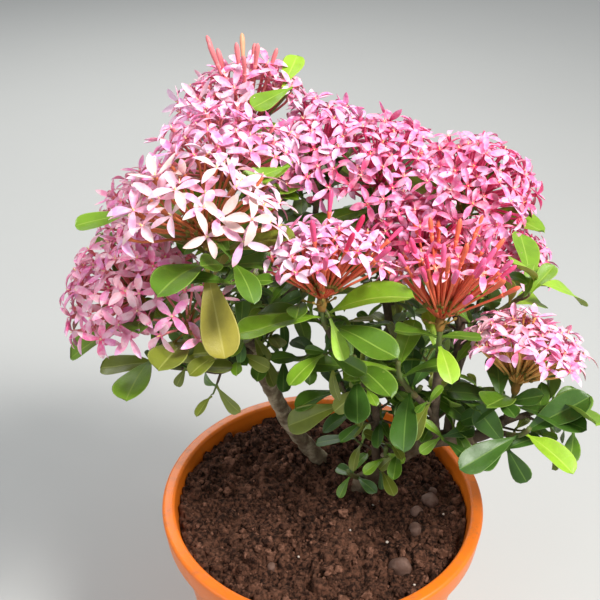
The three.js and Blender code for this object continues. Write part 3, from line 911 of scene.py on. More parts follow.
@dataclass
class Limb:
    """A woody limb: its route, its radii and what is broken off it."""

    name: str
    route: Sequence[Sequence[float]]
    radii: Pair
    kind: LimbKind = LimbKind.BOUGH
    knots: Sequence[Pair] = ()
    stubs: Sequence[tuple[float, Point, float, float]] = ()
    flare_swell: float = 2.6
    flare_reach: float = 8.0
    knot_reach: float = 6.0
    curve: Route = field(init=False)

    def __post_init__(self) -> None:
        """Draws the limb's line."""
        self.curve = Route(self.route)

    def radius(self, shares: Array) -> Array:
        """Gives the limb's smooth radius at shares of its length.

        Args:
            shares: The shares.

        Returns:
            The radii.
        """
        radius = mix(self.radii[0], self.radii[1], shares)
        if self.kind is LimbKind.STEM:
            away = shares * self.curve.length
            radius = radius + self.flare_swell * np.exp(-away / (2 * self.flare_reach))
        for at, swell in self.knots:
            away = (shares - at) * self.curve.length / self.knot_reach
            radius = radius + swell * np.exp(-(away**2))
        return radius


STEMS = (
    Limb(
        "stem_left",
        ((8, 45, 146), (0, 42, 160), (-14, 36, 185), (-30, 28, 226), (-42, 10, 282)),
        (5.2, 4.3),
        LimbKind.STEM,
        knots=((0.43, 0.9), (0.72, 0.7), (0.96, 1.4)),
        stubs=((0.74, (0.9, -0.2, 0.35), 13, 1.7), (0.93, (-0.9, -0.3, -0.1), 11, 2)),
    ),
    Limb(
        "stem_right",
        ((15, 21, 146), (24, 17, 160), (41, 12, 183), (61, 0, 213), (89, -10, 225)),
        (6.3, 4.8),
        LimbKind.STEM,
        knots=((0.36, 0.7), (0.7, 1)),
        stubs=((0.4, (-0.3, -0.3, 0.9), 13, 1.8),),
    ),
)
BOUGHS = (
    Limb("bough_left", ((-40, 12, 275), (-58, -8, 274), (-80, -24, 293)), (3.4, 2.4)),
    Limb("bough_front", ((-40, 9, 280), (-50, -22, 308), (-56, -42, 343)), (3, 2.3)),
    Limb("bough_top", ((-41, 12, 281), (-47, 12, 318), (-45, 26, 356)), (3.4, 2.4)),
    Limb("bough_centre_left", ((-39, 12, 276), (-20, 24, 304), (-8, 35, 336)), (3, 2.2)),
    Limb("bough_back", ((-39, 15, 273), (-37, 52, 286), (-30, 84, 306)), (3, 2.2)),
    Limb("bough_back_left", ((-39, 16, 270), (-66, 38, 280), (-86, 56, 296)), (3, 2.2)),
    Limb("bough_centre_front",
         ((35, 14, 175), (32, 7, 208), (29, -2, 246), (4, -34, 312)), (2.6, 2.1)),
    Limb("bough_centre", ((50, 7, 196), (45, 6, 226), (40, 10, 270), (29, 24, 340)), (3, 2.2)),
    Limb("bough_back_centre", ((44, 10, 188), (50, 44, 244), (42, 78, 288)), (3, 2.2)),
    Limb("bough_front_right", ((68, -3, 216), (62, -22, 250), (60, -28, 290)), (3, 2.3)),
    Limb("bough_right_up", ((74, -5, 219), (77, 6, 268), (77, 10, 328)), (3.4, 2.3)),
    Limb("bough_back_right", ((58, 2, 209), (80, 28, 236), (94, 56, 258)), (3, 2.2)),
    Limb("bough_right", ((87, -9, 224), (96, -14, 232), (102, -19, 246)), (3.8, 2.6)),
)
LIMBS = {limb.name: limb for limb in (*STEMS, *BOUGHS)}


@dataclass(frozen=True)
class Blend:
    """How the colours of one flower head are dealt out."""

    # Throats take deeper pinks and edges paler ones than the blades: partly the petals' own colour,
    # partly painted shade in the throat and painted highlight on the tips.
    throats: tuple[Pink, ...]
    blades: tuple[Pink, ...]
    edges: tuple[Pink, ...]
    buds: tuple[Pink, ...]
    tube: Pink


def blend(throats: str, blades: str, edges: str, buds: str, tube: Pink) -> Blend:
    """Makes a blend from lists of the pinks' names."""
    given = (throats, blades, edges, buds)
    return Blend(*(tuple(Pink[name] for name in names.split()) for names in given), tube)


class Hue(Enum):
    """Named colour blends of the flower heads."""

    SALMON_TOP = blend(
        "ROSE CANDY", "SHELL LILAC BLUSH CANDY POWDER", "BLUSH POWDER LILAC",
        "SALMON SALMON PEACH", Pink.SALMON,
    )
    VIOLET = blend(
        "CANDY ROSE", "ORCHID CANDY LILAC SHELL POWDER", "LILAC POWDER ORCHID", "CANDY",
        Pink.SALMON,
    )
    PALE = blend(
        "SHELL BLUSH", "SHELL POWDER IVORY BLUSH SHELL LILAC", "IVORY POWDER BLUSH", "SALMON",
        Pink.TERRACOTTA,
    )
    LEFT = blend(
        "ROSE CANDY", "SHELL BLUSH ORCHID SHELL CANDY", "BLUSH LILAC SHELL", "CANDY",
        Pink.SALMON,
    )
    ROSE = blend(
        "CERISE ROSE", "CANDY ROSE ORCHID LILAC CANDY", "ORCHID CANDY LILAC", "ROSE", Pink.ROSE,
    )
    BRIGHT = blend(
        "CERISE ROSE", "CANDY ORCHID LILAC POWDER LILAC", "LILAC POWDER ORCHID", "ROSE",
        Pink.ROSE,
    )
    PINK_CORAL = blend(
        "ROSE CANDY", "ORCHID LILAC POWDER CANDY", "LILAC POWDER", "ROSE CERISE", Pink.CORAL,
    )
    CORAL = blend(
        "CERISE CORAL", "CANDY ROSE SHELL", "SHELL BLUSH CANDY", "ROSE CORAL CERISE CANDY",
        Pink.CORAL,
    )
    SOFT = blend(
        "ROSE CANDY", "SHELL ORCHID LILAC CANDY BLUSH", "POWDER SHELL LILAC", "BLUSH", Pink.TAN,
    )


@dataclass
class Leaf:
    """One leaf: where it springs, which way it points and faces, its size and green."""

    base: Array
    direction: Array
    face: Array
    length: float
    bend: float
    green: Green

    def at(self, share: float) -> Array:
        """Gives the point at a share of the leaf's straight length."""
        return self.base + self.direction * self.length * share


@dataclass(frozen=True)
class LeafRule:
    """How pairs of leaves stand on a twig."""

    length: Pair = (34.0, 46.0)
    lift: Pair = (0.0, 0.65)
    bend: Pair = (0.15, 0.38)
    skyward: float = 0.15
    sunward: float = 1.0
    turn_jitter: float = 0.3

    def face(self, rise: Array, direction: Array) -> Array:
        """Turns a leaf's face toward the sky and along its twig."""
        return squared(rise + UP * self.sunward, direction)

    def pairs(self, twig: Curve, shares: Pair, turn: float, draws: Draws) -> list[Leaf]:
        """Grows a pair of leaves at each share of a twig, a quarter turn apart."""
        places = zip(shares, (turn, turn + math.pi / 2))
        return [leaf for place in places for leaf in self.pair(twig, *place, draws, MID)]

    def pair(
        self, twig: Curve, share: float, turn: float, draws: Draws, green: Green,
        scale: float = 1.0,
    ) -> list[Leaf]:
        """Grows one pair of leaves.

        Args:
            twig: The line that carries it.
            share: Where the pair stands on the twig.
            turn: The angle of its first leaf round the twig.
            draws: The series of draws.
            green: Its green.
            scale: How large it is against the rule's own length.

        Returns:
            The two leaves.
        """
        base, rise = twig.point(share), twig.direction(share)
        leaves = []
        for half in (0, math.pi):
            angle = turn + half + draws.between(-self.turn_jitter, self.turn_jitter)
            lift = draws.between(*self.lift)
            level = sideways(rise, angle) * math.cos(lift)
            direction = unit(level + rise * math.sin(lift) + UP * self.skyward)
            length = draws.between(*self.length) * scale
            bend = draws.between(*self.bend)
            leaves.append(Leaf(base, direction, self.face(rise, direction), length, bend, green))
        return leaves


@dataclass(frozen=True)
class LoneLeaf:
    """A leaf on its own small twig from a shoot's hub; flowers near it are left out."""

    foot: Point
    toward: Point
    length: float
    green: Green
    clear: float = 0.0
    sunny_side: Point = (0.0, -0.6, 1.0)
    bend: float = 0.12

    def grow(self, hub: Array) -> Leaf:
        """Grows the leaf.

        Args:
            hub: The hub of its shoot.

        Returns:
            The leaf.
        """
        way = unit(self.toward)
        face = squared(self.sunny_side, way)
        return Leaf(hub + self.foot, way, face, self.length, self.bend, self.green)

    def middle(self) -> Array:
        """Gives the direction from the hub to the leaf's middle."""
        return unit(np.array(self.foot) + unit(self.toward) * self.length / 2)


@dataclass
class Head:
    """What a flower head adds to its shoot."""

    reach: float
    florets: int
    colour: Hue
    buds: int = 0
    spread: float = 1.2
    lean: Pair | None = None
    bare_toward: Point = (0, 0, -1)
    bare_within: float = 0.0
    bud_lean: Pair | None = None
    bud_spread: float = 0.55
    spent: int = 8
    size: float = 0.86


@dataclass
class Shoot:
    """One shoot by the source's seeded rule: a twig with leaves, and a head or not."""

    name: str
    limb: str
    at: float
    hub: Point
    pairs: int
    head: Head | None = None
    turn: float | None = None
    greens: tuple[Green, ...] = (BRIGHT, MID, DEEP)
    leaf_scale: float = 1.0
    lone: tuple[LoneLeaf, ...] = ()
    seed: int = field(init=False)
    centre: Array = field(init=False)
    axis: Array = field(init=False)
    heart: Array = field(init=False)
    space: float = field(init=False)
    twig: Bend = field(init=False)
    leaves: list[Leaf] = field(init=False)
    dial_start: float = field(init=False)

    RULE = LeafRule()
    INTERNODE = 13.0
    WHORL_GAP = 6.0
    BARE_SHARE = 0.2
    HEART_SHARE = 0.45
    LEAFY_SPACE = 24.0
    CROWN = (2.0, 12.0)
    CROWN_LEAN = 300.0
    SEED_STEP = 7919
    GAP = 0.3

    def grow(self, index: int) -> None:
        """Grows the twig and its leaves.

        Args:
            index: The shoot's place in the list of all shoots, which seeds it.
        """
        self.seed = self.SEED_STEP * (index + 1)
        draws = Draws(self.seed)
        self.centre = np.array(self.hub, float)
        lean = (self.centre[:2] - self.CROWN) / self.CROWN_LEAN
        if self.head and self.head.lean:
            lean = np.array(self.head.lean)
        self.axis = unit(np.append(lean, 1.0))
        limb = LIMBS[self.limb]
        along = limb.curve.direction(self.at)
        root = limb.curve.point(self.at) + (along * self.GAP if self.at == 1 else 0)
        pull = np.linalg.norm(root - self.centre) / 3
        enter = self.centre - self.axis * pull
        self.twig = Bend(root, root + along * pull, enter, self.centre)
        reach = self.head.reach if self.head else 0.0
        self.heart = self.centre + self.axis * self.HEART_SHARE * reach
        self.space = reach or self.LEAFY_SPACE
        self.leaves = self.grow_leaves(draws)
        self.dial_start = draws.between(0, 2 * math.pi)

    def grow_leaves(self, draws: Draws) -> list[Leaf]:
        """Grows leaves in opposite pairs, each pair a quarter turn from the last.

        Args:
            draws: The shoot's series of draws.

        Returns:
            The leaves.
        """
        leaves = []
        drawn = draws.between(0, math.pi)
        turn = drawn if self.turn is None else self.turn
        for pair in range(self.pairs):
            below = self.WHORL_GAP * min(pair + 1, 2) + self.INTERNODE * max(0, pair - 1)
            share = 1 - below / self.twig.length
            turn += math.pi / 2
            if share > self.BARE_SHARE:
                green = self.greens[min(pair, len(self.greens) - 1)]
                leaves += self.RULE.pair(self.twig, share, turn, draws, green, self.leaf_scale)
        return leaves

    def is_bare(self, direction: Array) -> bool:
        """Tells whether a direction out of the hub has no flowers.

        Args:
            direction: The unit vector.

        Returns:
            Whether it is within a bare cone.
        """
        places = [(unit(self.head.bare_toward), self.head.bare_within)]
        places += [(leaf.middle(), leaf.clear) for leaf in self.lone]
        return any(
            math.acos(np.clip(np.dot(toward, direction), -1, 1)) < within
            for toward, within in places
        )

    def depth(self, point: Array) -> float:
        """Says how far a point is outside the shoot's own sphere."""
        return float(np.linalg.norm(self.heart - point)) - self.space


FLOWERING = (
    Shoot("blossom_top", "bough_top", 1, (-43, 46, 389), 3,
          Head(42, 70, Hue.SALMON_TOP, buds=9, spread=1.1, lean=(-0.05, 0.1),
               bud_spread=0.45, size=0.95),
          turn=0.8,
          lone=(LoneLeaf((25, -8, 33), (-0.67, -0.74, -0.02), 29, BRIGHT, clear=0.36),
                LoneLeaf((20, -6, 32), (0.3, 0.84, 0.45), 25, LIME))),
    Shoot("blossom_violet", "bough_top", 0.6, (-49, -8, 388), 3,
          Head(39, 72, Hue.VIOLET),
          turn=0.8, greens=(MID, BRIGHT, OLIVE),
          lone=(LoneLeaf((30, -21, 21), (-0.77, -0.64, 0.02), 28, BRIGHT, clear=0.3),)),
    Shoot("blossom_pale", "bough_front", 1, (-57, -53, 380), 3,
          Head(41, 54, Hue.PALE, spread=1.3, lean=(-0.05, 0.15), spent=40,
               bare_toward=(-0.35, -0.95, 0.02), bare_within=0.72, size=1.0),
          turn=2.75, greens=(OLIVE, MID, OCHRE),
          lone=(LoneLeaf((-1, -4, -7), (0.2, -0.58, -0.79), 46, OCHRE),)),
    Shoot("blossom_left", "bough_left", 1, (-95, -30, 334), 3,
          Head(36, 78, Hue.LEFT, spread=1.4, lean=(-0.4, -0.3), size=0.9),
          turn=2, greens=(MID, BRIGHT, BRIGHT),
          lone=(LoneLeaf((-6, 20, 39), (-0.97, -0.26, -0.03), 27, BRIGHT),)),
    Shoot("blossom_left_low", "bough_left", 0.72, (-69, -50, 330), 1,
          Head(27, 12, Hue.LEFT, size=0.95),
          turn=2.75, greens=(OLIVE,)),
    Shoot("blossom_centre_left", "bough_centre_left", 1, (-5, 40, 373), 3,
          Head(40, 88, Hue.BRIGHT, spread=1.45), turn=1.2),
    Shoot("blossom_centre", "bough_centre", 1, (28, 25, 369), 3,
          Head(40, 94, Hue.ROSE, spread=1.6)),
    Shoot("blossom_right", "bough_right_up", 1, (73, 12, 367), 3,
          Head(36, 84, Hue.ROSE, spread=1.4, lean=(0.15, -0.05))),
    Shoot("blossom_centre_right", "bough_right_up", 0.62, (50, -6, 342), 2,
          Head(35, 66, Hue.ROSE, spread=1.15, lean=(-0.1, 0.2))),
    Shoot("blossom_front", "bough_centre_front", 1, (-3, -44, 340), 3,
          Head(41, 62, Hue.PINK_CORAL, buds=7, spread=0.95, lean=(0.0, 0.3),
               bare_toward=(0.5, -1, 0.8), bare_within=0.5, bud_lean=(0.25, -0.1),
               bud_spread=0.6),
          turn=0, greens=(BRIGHT, MID),
          lone=(LoneLeaf((4, -4, -5), (0.33, -0.58, -0.75), 22, LIME),)),
    Shoot("blossom_front_right", "bough_front_right", 1, (58, -34, 321), 3,
          Head(43, 66, Hue.CORAL, buds=26, spread=0.85, lean=(0.05, 0.55),
               bare_toward=(0.25, -1, 0.9), bare_within=0.65, bud_lean=(0.15, -0.1),
               bud_spread=0.65),
          turn=0, greens=(MID, LIME), leaf_scale=0.6),
    Shoot("blossom_right_low", "bough_right", 1, (105, -23, 271), 2,
          Head(41, 76, Hue.SOFT, spread=0.95, lean=(0.18, 0.32), spent=0,
               bare_toward=(-0.4, -1, 0.1), bare_within=1.05),
          turn=1.2, greens=(MID, DEEP)),
    Shoot("blossom_back_left", "bough_back_left", 1, (-96, 66, 322), 3,
          Head(38, 52, Hue.LEFT)),
    Shoot("blossom_back", "bough_back", 1, (-28, 98, 334), 3, Head(38, 52, Hue.VIOLET)),
    Shoot("blossom_back_centre", "bough_back_centre", 1, (42, 90, 318), 3,
          Head(38, 52, Hue.BRIGHT)),
    Shoot("blossom_back_right", "bough_back_right", 1, (102, 66, 290), 3,
          Head(38, 52, Hue.ROSE)),
)
# Darker greens for the low and back shoots: painted shade under and behind the crown.
PAINTED_SHADE_GREENS = (MID, DEEP, DEEP)
LEAFY = (
    Shoot("foliage_left", "bough_left", 0.55, (-94, -36, 306), 2,
          turn=0.8, greens=(BRIGHT, OLIVE), leaf_scale=0.9),
    Shoot("foliage_centre_left", "stem_left", 0.86, (-8, -10, 288), 3,
          turn=2.4, greens=(MID, MID, DEEP), leaf_scale=0.5),
    Shoot("foliage_centre", "bough_centre_front", 0.5, (14, -40, 306), 4,
          turn=0.4, greens=(MID, MID, DEEP, DEEP), leaf_scale=0.75),
    Shoot("foliage_centre_right", "bough_front_right", 0.45, (38, -34, 298), 4,
          turn=0.8, greens=(BRIGHT, MID, DEEP, DEEP), leaf_scale=0.75),
    Shoot("foliage_low_centre", "bough_centre_front", 0.3, (10, 0, 258), 3,
          turn=0.4, greens=PAINTED_SHADE_GREENS, leaf_scale=0.65,
          lone=(LoneLeaf((2, -20, 1), (-0.87, 0.1, -0.49), 40, OLIVE),)),
    Shoot("foliage_low_right", "bough_centre", 0.34, (54, -14, 266), 3,
          turn=0.8, greens=PAINTED_SHADE_GREENS, leaf_scale=0.65),
    Shoot("foliage_right_up", "bough_right_up", 0.5, (121, 14, 322), 4,
          turn=0.4, greens=(LIME, BRIGHT, LIME, BRIGHT)),
    Shoot("foliage_right", "bough_right", 0.7, (134, -14, 258), 3, turn=1.6),
    Shoot("foliage_right_low", "bough_right", 0.35, (110, -44, 261), 2,
          turn=0, greens=(LIME, DEEP)),
    Shoot("foliage_basal_left", "stem_right", 0.2, (16, 6, 184), 2,
          greens=(MID, DEEP), leaf_scale=0.45),
    Shoot("foliage_basal_right", "stem_right", 0.36, (38, -4, 212), 2,
          turn=0.8, greens=(LIME, BRIGHT), leaf_scale=0.45),
    Shoot("foliage_back_left", "bough_back_left", 0.55, (-70, 92, 276), 3, greens=PAINTED_SHADE_GREENS),
    Shoot("foliage_back", "bough_back", 0.55, (0, 102, 278), 4, greens=PAINTED_SHADE_GREENS),
    Shoot("foliage_back_right", "bough_back_right", 0.6, (74, 88, 248), 3, greens=PAINTED_SHADE_GREENS),
)


class Crown:
    """All shoots, grown together, so that each keeps to its own space."""

    LEAF_HEART = 0.4
    LEAF_CLEAR = 4.0
    SMALL_CLEAR = 5.0
    BLADE = (0.45, 0.7, 0.95)
    HEAD_MIDDLE = 0.6
    HEAD_ROOM = 0.75

    def __init__(self) -> None:
        """Grows every shoot by the seeded rule."""
        self.shoots = (*FLOWERING, *LEAFY)
        for index, shoot in enumerate(self.shoots):
            shoot.grow(index)
        lines = [
            limb.curve.point(share)
            for limb in LIMBS.values()
            for share in np.linspace(0, 1, 30)
        ]
        self.wood = np.array(lines)

    def owns(self, shoot: Shoot, point: Array) -> bool:
        """Tells whether a point lies in a shoot's own space, nearest to its sphere."""
        depth = shoot.depth(point)
        return all(depth <= other.depth(point) for other in self.shoots)

    def leaf_is_free(self, shoot: Shoot, leaf: Leaf) -> bool:
        """Tells whether a leaf stays in its shoot's space and off the wood."""
        own = self.owns(shoot, leaf.at(self.LEAF_HEART))
        return own and self.clears_wood(leaf, self.LEAF_CLEAR)

    def clears_wood(self, leaf: Leaf, clear: float) -> bool:
        """Tells whether a leaf's outer part keeps a clear distance from all limbs."""
        blade = np.array([leaf.at(share) for share in self.BLADE])
        return bool(np.linalg.norm(self.wood[:, None] - blade[None], axis=2).min() > clear)

    def has_room(self, leaf: Leaf) -> bool:
        """Tells whether a small leaf keeps out of the flower heads and off the wood.

        Args:
            leaf: The leaf.

        Returns:
            Whether it does.
        """
        for head in FLOWERING:
            middle = leaf.at(1) - head.centre - head.axis * head.space * self.HEAD_MIDDLE
            if np.linalg.norm(middle) < head.space * self.HEAD_ROOM:
                return False
        return self.clears_wood(leaf, self.SMALL_CLEAR)


@dataclass
class LeafMaker:
    """Shapes single leaves."""

    rows: int = 13
    half_width: float = 0.225
    stalk_share: float = 0.08
    stalk_radius: float = 0.7
    thickness: float = 0.35
    veins: int = 8
    vein_relief: float = 0.16
    columns: tuple[float, ...] = (-1, -0.93, -0.6, -0.28, -0.05, 0.05, 0.28, 0.6, 0.93, 1)

    UPPER, UNDER, RIB = 0, 1, 2
    FOLD = (0.10, 0.38)
    WAVE = (0.02, 0.07)
    BREADTH = (0.88, 1.12)
    CURL = (-0.10, 0.16)

    def outline(self, share: Array) -> Array:
        """Gives the blade's half width at shares of its length, as a share of the widest."""
        blade = np.clip((share - self.stalk_share) / (1 - self.stalk_share), 0, 1)
        return 1.5 * blade**0.85 * (1 - blade**4) ** 0.5

    def shape(self, leaf: Leaf, draws: Draws) -> Shape:
        """Shapes one leaf as a thin closed blade on its stalk.

        Args:
            leaf: The leaf to shape.
            draws: Its series of draws.

        Returns:
            The blade with tones for the upper side, the underside and the rib.
        """
        fold = draws.between(*self.FOLD)
        wave = draws.between(*self.WAVE)
        phase = draws.between(0, 2 * math.pi)
        broad = self.half_width * draws.between(*self.BREADTH)
        curl = draws.between(*self.CURL)
        share = 1 - (1 - np.linspace(0, 1, self.rows)[:, None]) ** 1.5
        column = np.array(self.columns)
        stalk_half = self.stalk_radius * (1 - smooth(0.9, 1, share))
        across = np.maximum(self.outline(share) * broad * leaf.length, stalk_half) * column
        spread = smooth(self.stalk_share, 0.35, share)
        ripple = np.sin(phase + share * 7 + np.sign(column) * 1.3) * column**2
        blade = (np.abs(column) > 0.1) & (np.abs(column) < 0.9)
        veins = np.cos(2 * math.pi * (share * self.veins - np.abs(column) * 1.1)) * blade
        along = curl * smooth(0.6, 1, share) ** 2 / 2 - leaf.bend * share**2
        sideways = fold * np.abs(across) + wave * leaf.length * ripple / 2
        rise = along * leaf.length + spread * (sideways - self.vein_relief * veins)
        side = np.cross(leaf.face, leaf.direction)
        upper = (
            leaf.base
            + leaf.direction * (share * leaf.length)[..., None]
            + side * across[..., None]
            + leaf.face * rise[..., None]
        )
        stalk = self.stalk_radius * (1 - smooth(0.02, 0.2, share)) * (1 - column**2)
        rib = np.exp(-((column / 0.2) ** 2)) * 0.5 * (1 - share)
        depth = self.thickness * (1 - np.abs(column)) ** 0.5 + stalk + rib
        return self.closed_blade(upper, upper - leaf.face * depth[..., None])

    def closed_blade(self, upper: Array, lower: Array) -> Shape:
        """Joins an upper and a lower sheet that share their margins.

        Args:
            upper: Points of the upper sheet, by row and column.
            lower: Points of the lower sheet.

        Returns:
            The blade.
        """
        rows, columns = upper.shape[:2]
        above = np.arange(rows * columns).reshape(rows, columns)
        below = above.copy()
        inner = np.arange(rows * (columns - 2)).reshape(rows, columns - 2)
        below[:, 1:-1] = inner + rows * columns
        points = np.concatenate((upper.reshape(-1, 3), lower[:, 1:-1].reshape(-1, 3)))
        ribbons = (0, columns // 2 - 1, columns - 2)
        tones = [
            self.RIB if column in ribbons else side
            for side in (self.UPPER, self.UNDER)
            for _ in range(rows - 1)
            for column in range(columns - 1)
        ]
        return Shape(points, quads(above) + quads(below[:, ::-1]), tones)


class Foliage:
    """All leaves and twigs of the crown."""

    SIDE_TWIG = (13.0, 22.0)
    SIDE_RULE = LeafRule(length=(20.0, 30.0))
    SIDE_STARTS = (0.45, 0.7)
    SIDE_LEAVES = (0.95, 0.55)
    SIDE_RADII = (0.9, 0.6)
    SIDE_RISE = 0.5
    SIDE_LIFT = 3.0
    SIDE_ROOM = 14.0
    SPUR_SPACING = 9.0
    SPUR_LENGTH = (7.0, 15.0)
    SPUR_RULE = LeafRule(length=(11.0, 25.0))
    SPUR_LEAVES = (0.96, 0.6)
    SPUR_RADII = (0.8, 0.5)
    SPUR_PLACE = (0.2, 0.8)
    SPUR_TURN = (-0.4, 0.4)
    SPUR_RISE = 0.55
    SPUR_LIFT = 2.0
    SPUR_GREENS = (MID, DEEP, DEEP, OLIVE, BRIGHT, MID)
    SHOOT_RADII = (1.9, 1.4)
    LONE_RADII = (0.8, 0.6)
    SUNK = 2.5
    BACK_FROM = 35.0
    JOINT_SPACING = 13.0
    JOINT_SWELL = 0.16
    JOINT_WIDTH = 1.1
    TWIG_STEP = 2.2
    TWIG_SIDES = 8

    def __init__(self, crown: Crown) -> None:
        """Takes the grown crown.

        Args:
            crown: The crown.
        """
        self.crown = crown
        self.maker = LeafMaker()
        self.small_maker = LeafMaker(rows=9, columns=(-1, -0.9, -0.45, -0.07, 0.07, 0.45, 0.9, 1))
        self.front = Batch("leaves_front")
        self.back = Batch("leaves_back")
        self.twigs = Batch("green_twigs")
        self.count = 0

    def add_leaf(self, leaf: Leaf, draws: Draws) -> None:
        """Adds one leaf.

        Args:
            leaf: The leaf.
            draws: Its series of draws.
        """
        first = 3 * GREENS.index(leaf.green)
        batch = self.back if leaf.base[1] > self.BACK_FROM else self.front
        maker = self.maker if leaf.length > self.SPUR_RULE.length[1] else self.small_maker
        batch.add(maker.shape(leaf, draws), (first, first + 1, first + 2))
        self.count += 1

    def branching(self, base: Array, out: Array, length: float, lift: float) -> Bend:
        """Draws a small twig's line, which leaves its base outward and turns up by a lift."""
        tip = base + out * length + UP * lift
        return Bend(base, base + out * length / 3, tip - UP * length / 4, tip)

    def add_spurs(self, limb: Limb, draws: Draws) -> None:
        """Grows short spurs with small leaves along a bough, where there is room.

        Args:
            limb: The bough.
            draws: The bough's series of draws.
        """
        count = int(limb.curve.length / self.SPUR_SPACING)
        for i in range(count):
            share = (i + draws.between(*self.SPUR_PLACE)) / count
            angle = i * GOLDEN_ANGLE + draws.between(*self.SPUR_TURN)
            level = sideways(limb.curve.direction(share), angle)
            length = float(limb.radius(np.array(share))) + draws.between(*self.SPUR_LENGTH)
            out = unit(level + UP * self.SPUR_RISE)
            line = self.branching(limb.curve.point(share), out, length, self.SPUR_LIFT)
            leaves = self.SPUR_RULE.pairs(line, self.SPUR_LEAVES, angle, draws)
            free = [leaf for leaf in leaves if self.crown.has_room(leaf)]
            if free:
                self.add_twig(line, self.SPUR_RADII)
            for leaf in free:
                place = draws.between(0, len(self.SPUR_GREENS))
                leaf.green = self.SPUR_GREENS[int(place)]
                self.add_leaf(leaf, draws)

    def add_side_twig(self, shoot: Shoot, start: float, draws: Draws) -> None:
        """Grows a finer twig with smaller leaves from a shoot's twig, where it has room.

        Args:
            shoot: The shoot.
            start: Where it springs, by share of the twig's length.
            draws: The shoot's series of draws.
        """
        base, rise = shoot.twig.point(start), shoot.twig.direction(start)
        angle = draws.between(0, 2 * math.pi)
        out = unit(sideways(rise, angle) + rise * self.SIDE_RISE)
        line = self.branching(base, out, draws.between(*self.SIDE_TWIG), self.SIDE_LIFT)
        if not self.crown.owns(shoot, line.point(1)):
            return
        self.add_twig(line, self.SIDE_RADII)
        for leaf in self.SIDE_RULE.pairs(line, self.SIDE_LEAVES, angle, draws):
            leaf.green = shoot.greens[min(1, len(shoot.greens) - 1)]
            if self.crown.leaf_is_free(shoot, leaf):
                self.add_leaf(leaf, draws)

    def add_twig(self, line: Curve, radii: Pair) -> None:
        """Adds a twig with slight joints along it.

        Args:
            line: The twig's line.
            radii: Its radii at the root and at the tip.
        """
        shares = np.linspace(0, 1, max(4, int(line.length / self.TWIG_STEP)) + 1)
        beat = (shares * line.length) % self.JOINT_SPACING - self.JOINT_SPACING / 2
        swell = self.JOINT_SWELL * np.exp(-((beat / self.JOINT_WIDTH) ** 2))
        rings = np.outer(mix(*radii, shares) * (1 + swell), np.ones(self.TWIG_SIDES))
        self.twigs.add(swept(line, shares, rings, second_from=0.5))

    def add_shoot(self, shoot: Shoot) -> None:
        """Adds a shoot's twig, its leaves and its side twigs.

        Args:
            shoot: The shoot.
        """
        draws = Draws(shoot.seed + 17)
        root = shoot.twig.point(0) - shoot.twig.direction(0) * self.SUNK
        self.add_twig(Bend(root, *shoot.twig.pulls[1:]), self.SHOOT_RADII)
        for leaf in shoot.leaves:
            if self.crown.leaf_is_free(shoot, leaf):
                self.add_leaf(leaf, draws)
        for start in self.SIDE_STARTS:
            if shoot.twig.length * start > self.SIDE_ROOM and shoot.leaf_scale == 1:
                self.add_side_twig(shoot, start, draws)
        for lone in shoot.lone:
            leaf = lone.grow(shoot.centre)
            way = leaf.base - shoot.centre
            line = Bend(shoot.centre, shoot.centre + way * 0.35, leaf.at(-0.1), leaf.base)
            self.add_twig(line, self.LONE_RADII)
            self.add_leaf(leaf, draws)

    def build(self) -> list[Piece]:
        """Builds the leaves and twigs.

        Returns:
            The pieces.
        """
        for shoot in self.crown.shoots:
            self.add_shoot(shoot)
        for number, limb in enumerate(BOUGHS):
            self.add_spurs(limb, Draws(Shoot.SEED_STEP * number + 31))
        finishes = [finish for green in GREENS for finish in leaf_finishes(green)]
        pieces = [self.front.build(finishes), self.back.build(finishes)]
        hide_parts(*(shoot.name for shoot in LEAFY))
        return [*pieces, self.twigs.build((DARK_TWIG, GREEN_TWIG))]


class PetalZone(IntEnum):
    """Parts of a floret that take their own tone."""

    THROAT = 0
    BLADE = 1
    EDGE = 2
    EYE = 3


